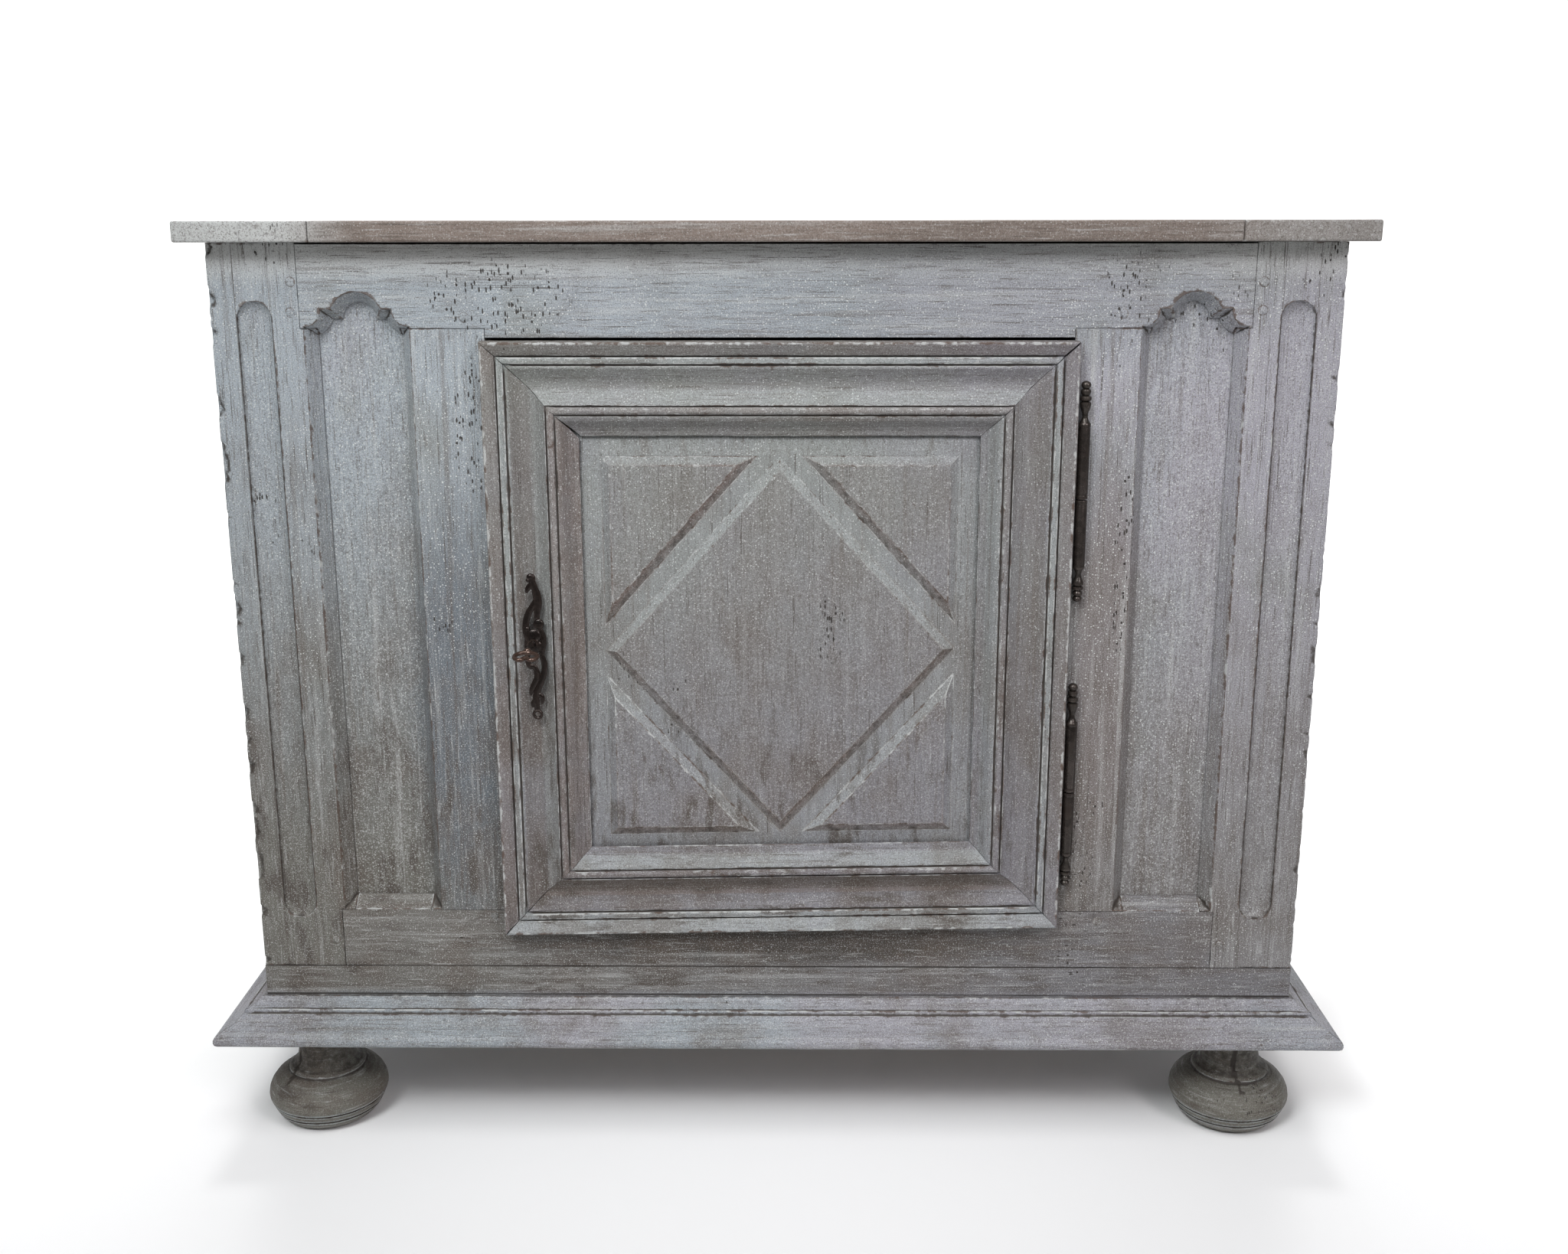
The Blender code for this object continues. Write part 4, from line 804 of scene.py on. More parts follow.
def smooth_path(points, count=6):
    """Points of a smooth line through the given ones."""
    ends = [points[0]] + points + [points[-1]]
    path = []
    for i in range(1, len(ends) - 2):
        before, here, there, after = (Vector(point) for point in ends[i - 1:i + 3])
        for k in range(count):
            share = k / count
            curve = 2 * here + (there - before) * share
            curve += (2 * before - 5 * here + 4 * there - after) * share ** 2
            curve += (3 * here - before - 3 * there + after) * share ** 3
            path.append(curve / 2)
    path.append(Vector(points[-1]))
    return path


# How much fuller a scroll is across than its drawn radius
SCROLL_FULL = 1.28


def scroll(bm, points, middle, flat=0.62, sides=12):
    """Tapered scroll in an upright plane, from across, height and radius triples in millimetres."""
    path = [point / 1000 for point in smooth_path(points)]
    rings = []
    for i, (across, height, radius) in enumerate(path):
        ahead = path[min(i + 1, len(path) - 1)] - path[max(i - 1, 0)]
        side = Vector((ahead.y, -ahead.x)).normalized()
        ring = []
        for k in range(sides):
            angle = math.tau * k / sides
            out = SCROLL_FULL * radius * math.cos(angle)
            lift = radius * flat * math.sin(angle)
            ring.append(middle + Vector((across + side.x * out, -lift, height + side.y * out)))
        rings.append(ring)
    sweep(bm, rings)


def ball(bm, middle, radii):
    matrix = Matrix.LocRotScale(middle, None, Vector(radii))
    bmesh.ops.create_uvsphere(bm, u_segments=20, v_segments=12, radius=1, matrix=matrix)


def wire_loop(bm, station, wire, steps, sides):
    """Closed loop of round wire: a station gives its middle and the two directions of its section."""
    angles = [math.tau * k / sides for k in range(sides)]
    rings = []
    for i in range(steps + 1):
        middle, first, second = station(math.tau * i / steps)
        section = [first * math.cos(angle) + second * math.sin(angle) for angle in angles]
        rings.append([middle + wire * out for out in section])
    sweep(bm, rings, closed=True)


def box_of(points):
    """Lowest and highest corner of some points."""
    low = Vector([min(point[i] for point in points) for i in range(3)])
    high = Vector([max(point[i] for point in points) for i in range(3)])
    return low, high


def block(bm, low, high):
    """Cuboid between two corners."""
    bmesh.ops.create_cube(bm, size=1, matrix=Matrix.LocRotScale((low + high) / 2, None, high - low))


# Distance within which an edge lies at a rim or corner
NEAR = 1e-4

TOP_GRAINS = {"top_plank_front": "x", "top_plank_rear": "x", "top_cleat_left": "y", "top_cleat_right": "y"}
TOP_LEFT = min(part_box(node)[0].x for node in TOP_GRAINS)
TOP_RIGHT = max(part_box(node)[1].x for node in TOP_GRAINS)
TOP_FRONT = min(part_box(node)[0].y for node in TOP_GRAINS)


def at_outer_corner(edge):
    """Upright outer corner of the front frame."""
    return all(abs(vert.co.x) > HALF - NEAR and vert.co.y < FACE_Y + NEAR for vert in edge.verts)


def at_top_rim(edge):
    """Outer rim of the top, which is rounder than its joints."""
    ends = [vert.co for vert in edge.verts]
    at_left = all(co.x < TOP_LEFT + NEAR for co in ends)
    at_right = all(co.x > TOP_RIGHT - NEAR for co in ends)
    at_front = all(co.y < TOP_FRONT + NEAR for co in ends)
    return at_left or at_right or at_front


class BUFFET_OT_top(bpy.types.Operator):
    """Worn planks and end cleats of the top"""

    bl_idname = "buffet.top"
    bl_label = "Top"

    def execute(self, context):
        size = sizes()
        for node, grain in TOP_GRAINS.items():
            timber(node, "worn_top", grain, at_top_rim, size.chip, step=0.012, corner=size.board_edge)
        return {"FINISHED"}


# Depth of the bites out of the outer corner of each stile
STILE_BITES = {"left": 0.010, "right": 0.004}


class BUFFET_OT_front_frame(bpy.types.Operator):
    """Fluted stiles, rails, jambs and fixed panels of the front"""

    bl_idname = "buffet.front_frame"
    bl_label = "Front frame"

    def execute(self, context):
        chip = sizes().chip
        for side, bites in STILE_BITES.items():
            stile = "front_stile_" + side
            timber(stile, "grey_paint", "z", at_outer_corner, chip, step=0.005, bites=bites)
            timber("front_panel_" + side, "grey_paint", "z")
        timber("front_top_rail", "grey_paint", "x", rows=0.005)
        timber("front_bottom_rail", "lower_paint", "x", rows=0.008)
        for node in ("latch_jamb", "hinge_jamb"):
            timber(node, "grey_paint", "z")
        return {"FINISHED"}


class BUFFET_OT_sides_and_back(bpy.types.Operator):
    """Rear stiles, side frames and panels, and the boarded back"""

    bl_idname = "buffet.sides_and_back"
    bl_label = "Sides and back"

    def execute(self, context):
        chip = sizes().chip
        for side in SIDES:
            timber("rear_stile_" + side, "grey_paint", "z", chip=chip * 0.5)
            timber("side_top_rail_" + side, "grey_paint", "y")
            timber("side_bottom_rail_" + side, "lower_paint", "y")
            timber("side_panel_" + side, "grey_paint", "z")
        for node in ("back_top_rail", "back_bottom_rail"):
            timber(node, "raw_oak", "x", chip=chip * 0.5)
        for place in ("left", "middle", "right"):
            timber("back_board_" + place, "raw_oak", "z", chip=chip * 0.5)
        return {"FINISHED"}


class BUFFET_OT_inside(bpy.types.Operator):
    """Floor boards, shelf and shelf cleats"""

    bl_idname = "buffet.inside"
    bl_label = "Inside"

    def execute(self, context):
        chip = sizes().chip
        for node in ("floor_board_front", "floor_board_rear", "shelf_board"):
            timber(node, "raw_oak", "x", chip=chip * 0.6)
        for side in SIDES:
            timber("shelf_cleat_" + side, "raw_oak", "y", chip=chip * 0.6)
        return {"FINISHED"}


class BUFFET_OT_base(bpy.types.Operator):
    """Base beams between the frame and the feet"""

    bl_idname = "buffet.base"
    bl_label = "Base"

    def execute(self, context):
        for place, grain in (("front", "x"), ("rear", "x"), ("left", "y"), ("right", "y")):
            timber("base_frame_" + place, "lower_paint", grain)
        return {"FINISHED"}


# Base moulding: distance out from the body and height above its underside, in millimetres
PLINTH_PROFILE = (
    (0.3, 0), (44, 0), (48.2, 1.0), (51.0, 3.6), (52, 7.2), (51.7, 10.6), (50.2, 13.6), (47.6, 16.0),
    (43.6, 18.0), (37.6, 20.6), (31.6, 23.8), (26.8, 27.4), (24.4, 30.2), (23.6, 31.6), (22.6, 31.8),
    (22.0, 32.6), (21.6, 35.6), (20.8, 36.6), (19.6, 36.7), (18.8, 36.2), (17.6, 36.9), (13.2, 38.6),
    (9.6, 40.6), (8.2, 42.0), (7.2, 43.0), (5.6, 45.2), (4.4, 46), (0.3, 46),
)

# Cuts along the front and along a side of the plinth, which let its edges wander
FRONT_CUTS = 110
SIDE_CUTS = 48


class BUFFET_OT_plinth(bpy.types.Operator):
    """Mitred base moulding on the front and both sides"""

    bl_idname = "buffet.plinth"
    bl_label = "Plinth"

    def execute(self, context):
        mitre = sizes().mitre
        bow = max(0.0, FACE_Y - PLINTH_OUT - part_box("plinth_front")[0].y)
        profile = with_edges([(out, FOOT_TOP + up) for out, up in in_metres(PLINTH_PROFILE)])
        rings = []
        for i in range(FRONT_CUTS + 1):
            share = 2 * i / FRONT_CUTS - 1
            front = FACE_Y - bow * (1 - abs(share))
            rings.append([Vector((share * (HALF + out - mitre), front - out, up)) for out, up in profile])
        self.length_of("plinth_front", rings, "x", 3.0)
        for side, sign in SIDES.items():
            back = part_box("plinth_" + side)[1].y
            starts = [Vector((sign * (HALF + out), FACE_Y - out + mitre, up)) for out, up in profile]
            stops = [Vector((start.x, back, start.z)) for start in starts]
            rings = []
            for i in range(SIDE_CUTS + 1):
                rings.append([start.lerp(stop, i / SIDE_CUTS) for start, stop in zip(starts, stops)])
            self.length_of("plinth_" + side, rings, "y", 5.0 + sign)
        return {"FINISHED"}

    def length_of(self, node, rings, grain, seed):
        bm = moulding_run(rings)
        weather(bm, sizes().waver, sizes().chip * 0.9, seed)
        dress(node, "_worn", bm, "lower_paint", grain)


# Bun foot: radius and height in millimetres, with two incised lines and a ring below the neck
FOOT_PROFILE = (
    (0, 0), (43, 0), (49, 0.6), (57, 5.0), (62.6, 11.2), (64.8, 14.6), (65.2, 15.6), (64.2, 16.2),
    (64.4, 16.8), (66.2, 17.6), (68.2, 21.6), (69.4, 24.6), (69.6, 25.6), (68.6, 26.2), (68.9, 26.9),
    (70.9, 27.8), (72.2, 31.8), (72.4, 35.0), (71.4, 41.5), (68.6, 48.0), (63.6, 54.4), (57.0, 59.4),
    (51.0, 62.6), (48.0, 63.8), (46.8, 64.4), (46.4, 65.4), (46.8, 66.6), (46.2, 68.0), (44.0, 69.8),
    (40.4, 72.0), (37.2, 75.4), (35.2, 80.5), (34.0, 88.0), (33.6, 100), (33.6, 120), (34.0, 133.6),
    (0, 133.6),
)

# Heights of a foot: its ridges, lightened as painted highlights, its neck, darkened as dirt and painted
# shade under the plinth, and the part that has cracked
FOOT_RIDGES = (0.0146, 0.0177, 0.0246, 0.0279, 0.0654)
FOOT_NECK = 0.0700
FOOT_CRACKED = 0.0560
# Where each foot is cracked, as an angle round it, and the crack's half angle and depth
FOOT_CRACKS = {"front_left": 3.9, "front_right": 4.65, "rear_left": 1.2, "rear_right": 2.0}
CRACK_HALF = 0.05
CRACK_DEPTH = 0.0022


class BUFFET_OT_feet(bpy.types.Operator):
    """Turned bun feet, cracked along the grain"""

    bl_idname = "buffet.feet"
    bl_label = "Feet"

    def execute(self, context):
        profile = with_edges(in_metres(FOOT_PROFILE))
        for seed, (place, crack) in enumerate(FOOT_CRACKS.items()):
            node = "foot_" + place
            low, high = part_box(node)
            bm = bmesh.new()
            turned(bm, profile, steps=96)
            close_up(bm)
            mark(bm, gain=1.3)
            self.age(bm, crack)
            weather(bm, waver=0.0009, chip=0.0008, seed=4.0 + seed)
            bmesh.ops.translate(bm, verts=bm.verts, vec=((low.x + high.x) / 2, (low.y + high.y) / 2, 0))
            dress(node, "_turned", bm, "foot_paint", "turned", 40)
        return {"FINISHED"}

    def age(self, bm, crack):
        """Lighten the ridges as painted highlights, darken the neck with dirt and painted shade, and open
        the crack.
        """
        bloom = layer(bm, "bloom")
        soil_and_painted_shade = layer(bm, "dirt")
        for vert in bm.verts:
            radius = vert.co.xy.length
            if radius < 0.02:
                continue
            # Ridges: painted highlight
            if any(abs(vert.co.z - ridge) < 0.0013 for ridge in FOOT_RIDGES):
                vert[bloom] = 1.0
            # Neck under the plinth: dirt and painted shade
            if vert.co.z > FOOT_NECK:
                vert[soil_and_painted_shade] = 0.42
            swing = math.atan2(vert.co.y, vert.co.x) - crack + 0.10 * math.sin(vert.co.z * 90)
            swing = abs((swing + math.pi) % math.tau - math.pi)
            if swing < CRACK_HALF and vert.co.z > FOOT_CRACKED:
                vert.co.xy *= 1 - CRACK_DEPTH / radius
                vert[soil_and_painted_shade] = 1.0


# Door moulding from its outer edge in: distance and height above the frame, in millimetres
LIP_PROFILE = (
    (0, 0.3), (0, 17.2), (0.6, 19.2), (1.8, 20.2), (3.4, 20.2), (9.0, 17.0), (14.4, 13.7), (15.4, 12.8),
    (15.9, 10.4), (16.7, 10.3), (17.3, 13.0), (18.2, 13.8), (23.6, 13.9), (24.6, 13.2), (25.1, 10.8),
    (25.9, 10.7), (26.7, 12.0), (28.2, 12.3),
)
BEAD_PROFILE = (
    (68.4, 17.2), (69.0, 17.3), (69.5, 15.2), (70.2, 15.1), (70.9, 17.8), (72.2, 19.2), (74.6, 19.8),
    (77.0, 19.5), (78.6, 18.3), (79.2, 16.0), (80.0, 15.9), (80.7, 17.1), (82.6, 17.0), (86.0, 15.2),
    (89.6, 11.6), (93.2, 7.6), (97.6, 4.6), (103.2, 2.8), (104, 2.4), (104, 0.3),
)

# Cove of the door moulding: points along it, its chord, and how its height rises and sinks from end to end
COVE_POINTS = 15
COVE = (30.2, 67.6)
COVE_HEIGHT = (11.89, 4.51, 8.61)


def moulding_profile():
    points = list(LIP_PROFILE)
    start, rise, sag = COVE_HEIGHT
    for i in range(COVE_POINTS):
        share = i / (COVE_POINTS - 1)
        height = start + rise * share - sag * math.sin(math.pi * share)
        points.append((COVE[0] + (COVE[1] - COVE[0]) * share, height))
    return with_edges(in_metres(points + list(BEAD_PROFILE)))


def door_corners():
    """Outer corners of the door moulding, clockwise from the upper left: the lower edge sags."""
    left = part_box("door_moulding_left")
    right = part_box("door_moulding_right")
    return [
        Vector((left[0].x, left[1].z)), Vector((right[1].x, right[1].z)),
        Vector((right[1].x, right[0].z)), Vector((left[0].x, left[0].z)),
    ]


def drawn_in(corners, distance):
    """Corners of the outline moved in by one distance all round."""
    moved = []
    for i, corner in enumerate(corners):
        before = (corner - corners[i - 1]).normalized()
        after = (corners[(i + 1) % 4] - corner).normalized()
        first = Vector((before.y, -before.x))
        second = Vector((after.y, -after.x))
        moved.append(corner + distance * (first + second) / (1 + first.dot(second)))
    return moved


# Bands of each length of moulding, from and to in millimetres in from its edge, and strength: those
# stained brown, those with a pale bloom and those darkened. In the coves and at the outer edge they are
# partly painted shade and painted highlight.
BANDS = {
    "stain": {
        "top": ((-1, 16, 0.40), (69, 79.5, 0.45), (80, 105, 0.20)),
        "right": ((-1, 16, 0.35), (30, 68, 0.15), (69, 79.5, 0.35)),
        "bottom": ((44, 68, 0.75), (69, 79.5, 0.30)),
        "left": ((-1, 16, 0.50), (30, 50, 0.20), (69, 79.5, 0.65), (80, 105, 0.70)),
    },
    "bloom": {
        "top": ((17, 26, 0.45), (54, 68, 0.25)),
        "right": ((17, 26, 0.45), (80, 96, 0.35)),
        "bottom": ((-1, 26, 0.60), (80, 96, 0.55)),
        "left": ((17, 26, 0.50), (52, 68, 0.45)),
    },
    "shade": {
        "top": ((-1, 1, 0.5), (30, 52, 0.12)),
        "right": ((30, 52, 0.24), (80, 105, 0.10)),
        "bottom": ((30, 50, 0.22), (50, 68.5, 0.78)),
        "left": ((30, 68.5, 0.38), (80, 105, 0.28)),
    },
}

# Mitres that have opened: corner, distance in where it is widest and where it ends, widest gap
OPEN_MITRES = {0: (0.104, 0.080, 0.0022), 1: (0.0, 0.022, 0.0012), 3: (0.0, 0.030, 0.0006)}
# Cuts along one length of moulding
MOULDING_CUTS = 60


class BUFFET_OT_door_moulding(bpy.types.Operator):
    """Four mitred lengths of bolection moulding round the door"""

    bl_idname = "buffet.door_moulding"
    bl_label = "Door moulding"

    def execute(self, context):
        profile = moulding_profile()
        outer = door_corners()
        for i, name in enumerate(("top", "right", "bottom", "left")):
            node = "door_moulding_" + name
            ends = [[], []]
            for inward, height in profile:
                corners = drawn_in(outer, inward)
                start = corners[i]
                stop = corners[(i + 1) % 4]
                way = (stop - start).normalized()
                for end, place, sign in ((0, start, 1), (1, stop, -1)):
                    held = place + sign * way * self.gap((i + end) % 4, inward)
                    ends[end].append(Vector((held.x, FACE_Y - height, held.y)))
            rings = []
            for k in range(MOULDING_CUTS + 1):
                rings.append([start.lerp(stop, k / MOULDING_CUTS) for start, stop in zip(*ends)])
            bm = moulding_run(rings)
            self.age(bm, name, outer[i], outer[(i + 1) % 4])
            weather(bm, sizes().waver, sizes().chip * 0.8, seed=11.0 + i)
            dress(node, "_run", bm, "door_paint", "x" if i % 2 == 0 else "z")
        return {"FINISHED"}

    def age(self, bm, name, start, stop):
        """Stain, bloom and darken the bands of one length between two corners, partly as painted shade and
        highlight.
        """
        way = (stop - start).normalized()
        for kind, lengths in BANDS.items():
            held = layer(bm, kind)
            for vert in bm.verts:
                inward = 1000 * (vert.co.xz - start).dot(Vector((way.y, -way.x)))
                depths = [depth for low, high, depth in lengths[name] if low <= inward <= high]
                vert[held] = max(depths, default=0.0)

    def gap(self, corner, inward):
        width = sizes().mitre
        if corner in OPEN_MITRES:
            widest, ends, gap = OPEN_MITRES[corner]
            width += gap * max(0.0, 1 - abs(inward - widest) / abs(ends - widest))
        return width


# Door panel: distance of the cuts beside its raised shapes, rim of their facets and spacing of its cuts
STRAP_CUT = 0.0022
FACET_RIM = 0.0018
PANEL_STEP = 0.02


class BUFFET_OT_door_panel(bpy.types.Operator):
    """Fielded door panel with its lozenge and corners, and the frame behind it"""

    bl_idname = "buffet.door_panel"
    bl_label = "Door panel"

    def execute(self, context):
        bm = cad_copy("door_panel")
        strap = sorted({round(vert.co.y, 4) for vert in bm.verts})[1]
        self.strips(bm, strap)
        bm.normal_update()
        facets = [face for face in bm.faces if self.faces_front(face) and self.raised(face, strap)]
        bmesh.ops.inset_individual(bm, faces=facets, thickness=FACET_RIM, depth=0, use_even_offset=True)
        mark(bm, gain=1.05, least=0.15)
        self.age(bm, strap)
        slice_along(bm, 0, PANEL_STEP)
        slice_along(bm, 2, PANEL_STEP)
        weather(bm, sizes().waver, chip=0.0006, seed=23.0)
        dress("door_panel", "_fielded", bm, "door_paint", smooth=12)
        for side in ("latch", "hinge"):
            timber("door_stile_" + side, "raw_oak", "z")
        for side in ("top", "bottom"):
            timber("door_rail_" + side, "raw_oak", "x")
        return {"FINISHED"}

    def faces_front(self, face):
        return face.normal.y < -0.7

    def raised(self, face, strap):
        """Whether a face belongs to the lozenge or a corner, and not to the straps between them."""
        return min(vert.co.y for vert in face.verts) < strap - 0.001

    def age(self, bm, strap):
        """Stain the raised shapes, paint highlights on what looks up and painted shade on what looks down,
        and leave the back bare.
        """
        stain = layer(bm, "stain")
        bloom = layer(bm, "bloom")
        soil_and_painted_shade = layer(bm, "dirt")
        wear = layer(bm, "wear")
        behind = layer(bm, "unpainted")
        for face in bm.faces:
            if not self.raised(face, strap):
                for vert in face.verts:
                    vert[bloom] = max(vert[bloom], 0.28)
                continue
            amount = 0.14 if face.normal.y < -0.99 else 0.0
            # Facets that look down get painted shade, as stain and dirt
            if face.normal.z < -0.15:
                amount = 0.95 if face.normal.x > -0.1 else 0.7
            for vert in face.verts:
                vert[stain] = max(vert[stain], amount)
                # Facets that look up get a painted highlight
                if face.normal.z > 0.15 and abs(face.normal.x) > 0.1:
                    vert[bloom] = 0.46
                if amount > 0.5:
                    vert[soil_and_painted_shade] = max(vert[soil_and_painted_shade], 0.30)
        back = reach(bm, 1)[1]
        for vert in bm.verts:
            if vert.co.y > back - 0.0002:
                vert[behind] = 1.0
                vert[wear] = 0.0

    def strips(self, bm, strap):
        """Cut the flat straps beside the feet of the raised shapes."""
        planes = []
        for edge in bm.edges:
            if not edge.is_manifold or edge.calc_face_angle_signed(0) >= -0.3:
                continue
            if any(abs(vert.co.y - strap) >= 2e-4 for vert in edge.verts):
                continue
            start, stop = (vert.co.copy() for vert in edge.verts)
            raised = next(face for face in edge.link_faces if self.raised(face, strap))
            out = (stop - start).normalized().cross(Vector((0, 1, 0)))
            if out.dot(raised.calc_center_median() - start) > 0:
                out = -out
            planes.append((start + out * STRAP_CUT, out))
        for place, out in planes:
            near = [face for face in bm.faces if self.faces_front(face) and not self.raised(face, strap)]
            geom = set(near)
            for face in near:
                geom.update(face.edges)
                geom.update(face.verts)
            bmesh.ops.bisect_plane(bm, geom=list(geom), dist=1e-6, plane_co=place, plane_no=out)


# Vase finial of a hinge: radius in millimetres and share of its height
FINIAL = (
    (4.4, 0.06), (3.2, 0.14), (3.4, 0.22), (5.4, 0.34), (6.5, 0.43), (6.2, 0.48), (4.0, 0.51), (6.3, 0.54),
    (6.7, 0.58), (6.2, 0.62), (3.9, 0.65), (5.4, 0.70), (5.8, 0.75), (5.2, 0.79), (3.5, 0.81), (5.2, 0.86),
    (5.6, 0.90), (4.8, 0.95), (2.8, 0.985),
)


def barrel_profile(tall, finial):
    """Hinge barrel above its joint, from its height and its finial's in millimetres: radius and height."""
    body = tall - finial
    points = [(0, 0.4), (5.6, 0.4), (6.5, 0.8), (6.8, 1.8), (6.8, 4.4), (6.5, 5.0), (6.5, 5.6), (6.8, 6.2)]
    points += [(6.8, body - 6), (6.6, body - 5.2), (6.6, body - 4.6), (6.8, body - 4.0), (6.8, body - 0.8)]
    points.append((6.2, body))
    points += [(radius, body + share * finial) for radius, share in FINIAL]
    return in_metres(points + [(0, tall)])


# Height of the finials of the door's and the frame's barrels, in millimetres
FINIAL_TALL = {"door": 46, "frame": 38}
# Remains of paint on a barrel and on the end that the brush caught, and the length of that end
BARREL_PAINT = 0.06
END_PAINT = 0.15
PAINTED_END = 0.044
# Distance from the hinge's axis beyond which a leaf lies, and how far it runs into the barrel
LEAF_FROM = 0.0075
LEAF_INNER = 0.004


class BUFFET_OT_hinges(bpy.types.Operator):
    """Lift-off hinges with vase finials"""

    bl_idname = "buffet.hinges"
    bl_label = "Hinges"

    def execute(self, context):
        for height in ("upper", "lower"):
            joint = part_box(height + "_hinge_door_barrel")[0].z
            for kind, sign in (("door", 1), ("frame", -1)):
                node = f"{height}_hinge_{kind}_barrel"
                low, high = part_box(node)
                tall = abs((high.z if sign > 0 else low.z) - joint)
                bm = bmesh.new()
                place = Matrix.Translation((DOOR_AXIS.x, DOOR_AXIS.y, joint))
                upright = Matrix.Diagonal((1, 1, sign, 1))
                turned(bm, barrel_profile(1000 * tall, FINIAL_TALL[kind]), place @ upright, steps=32)
                self.leaf(bm, node)
                close_up(bm)
                mark(bm, gain=0.8)
                brushed = layer(bm, "paint")
                for vert in bm.verts:
                    at_end = abs(vert.co.z - joint) >= tall - PAINTED_END
                    vert[brushed] = END_PAINT if at_end else BARREL_PAINT
                weather(bm, waver=0.0002, seed=3.0)
                dress(node, "_forged", bm, "iron", smooth=40)
        return {"FINISHED"}

    def leaf(self, bm, node):
        """Plate between the barrel and the timber, where the CAD solid has it."""
        places = [vert.co for vert in frame["nodes"][node].data.vertices]
        flat = [place for place in places if abs(place.x - DOOR_AXIS.x) > LEAF_FROM]
        if not flat:
            return
        low, high = box_of(flat)
        if high.x < DOOR_AXIS.x:
            high.x = DOOR_AXIS.x - LEAF_INNER
        else:
            low.x = DOOR_AXIS.x + LEAF_INNER
        block(bm, low, high)


class BUFFET_OT_lock(bpy.types.Operator):
    """Lock case, cover, bolt and strike plate"""

    bl_idname = "buffet.lock"
    bl_label = "Lock"

    def execute(self, context):
        for node in ("lock_cover", "lock_case", "lock_bolt", "strike_plate"):
            bm = cad_copy(node)
            soften(bm, 0.0004, 2)
            mark(bm, gain=0.6)
            weather(bm, waver=0.00015, seed=8.0)
            dress(node, "_forged", bm, "iron")
        return {"FINISHED"}


# Scrolls of the escutcheon: across, height from the key and radius, in millimetres
SCROLLS = (
    (
        (-1.5, 79, 1.8), (1.5, 77, 3.2), (2.2, 72, 2.8), (4.2, 65, 3.1), (6.6, 56, 3.7), (7.6, 46, 3.5),
        (6.4, 37, 2.9), (6.0, 29, 2.3),
    ),
    (
        (6.4, 52, 2.2), (1.0, 43, 2.7), (-3.6, 35, 3.0), (-6.4, 26, 3.0), (-7.0, 17, 3.3), (-5.0, 9, 3.8),
        (-2.0, 2, 4.0),
    ),
    ((2.4, 71, 2.0), (-1.8, 66, 2.4), (-4.2, 61.5, 1.9), (-4.6, 58.5, 0.7)),
    ((8.6, 17, 2.4), (11.6, 9, 2.6), (12.2, 0, 2.6), (10.6, -8, 2.4), (9.6, -13, 2.3)),
    (
        (-5.0, 6, 3.0), (-6.6, -3, 2.6), (-6.0, -11, 2.4), (-6.6, -19, 2.4), (-4.4, -26, 2.5),
        (0.8, -27, 2.4), (3.2, -33, 2.6), (3.0, -41, 2.8), (-0.8, -49, 2.6), (-3.8, -56, 2.0),
        (-4.4, -61, 0.8),
    ),
    (
        (8.4, -11, 2.4), (11.8, -21, 2.6), (12.0, -30, 2.6), (9.2, -41, 2.8), (5.2, -51, 2.8),
        (1.6, -60, 2.8), (1.4, -69, 3.0), (2.4, -79, 2.4),
    ),
    ((2.6, -60, 1.8), (7.4, -61.5, 2.2), (8.8, -66, 1.9), (8.0, -71, 0.8)),
    ((0.4, -66, 1.8), (-2.6, -70, 2.0), (-2.2, -75, 1.2)),
)

# Bosses of the escutcheon: across, height from the key, half width and half height, in millimetres
BOSSES = (
    (0.2, 77.2, 4.4, 4.0), (-2.4, 73.4, 2.8, 2.6), (7.6, 22.6, 6.2, 6.4), (1.6, 9.0, 8.6, 8.0),
    (2.6, -3.0, 8.8, 7.6), (0.4, -0.6, 5.6, 5.6), (-5.6, 17.0, 3.4, 3.6),
)
BOSS_DEPTH = 0.0026
# How far the scrolls' middles lie behind the plate's front
SCROLL_DEPTH = 0.0024
# Rings of the escutcheon, the lowest one and that round the key: place from the key, radius and wire
RINGS = (((0.0026, 0, -0.0832), 0.0044, 0.0018), ((0, -0.0006, 0), 0.0062, 0.0017))
# Inner and outer radius of the pipe that guides the key
PIPE = (0.0042, 0.0058)


class BUFFET_OT_escutcheon(bpy.types.Operator):
    """Pierced bronze lock plate of leafy scrolls"""

    bl_idname = "buffet.escutcheon"
    bl_label = "Escutcheon"

    def execute(self, context):
        low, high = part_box("escutcheon")
        middle = Vector((KEY_MIDDLE.x, low.y + SCROLL_DEPTH, KEY_AXIS.z))
        bm = bmesh.new()
        for points in SCROLLS:
            scroll(bm, [Vector(point) for point in points], middle)
        for across, height, wide, tall in in_metres(BOSSES):
            ball(bm, middle + Vector((across, 0, height)), (wide, BOSS_DEPTH, tall))
        for place, radius, wire in RINGS:
            self.ring(bm, middle + Vector(place), radius, wire)
        seat = Matrix.Translation((middle.x, high.y, middle.z)) @ Matrix.Rotation(math.pi / 2, 4, "X")
        tall = high.y - low.y
        inner, outer = PIPE
        turned(bm, [(inner, 0), (outer, 0), (outer, tall), (inner, tall), (inner, 0)], seat, steps=28)
        close_up(bm)
        mark(bm, gain=0.9)
        dress("escutcheon", "_scrolls", bm, "bronze", smooth=50)
        return {"FINISHED"}

    def ring(self, bm, middle, radius, wire):
        def station(turn):
            out = Vector((math.cos(turn), 0, math.sin(turn)))
            return middle + out * radius, out, unit(1)

        wire_loop(bm, station, wire, steps=24, sides=10)


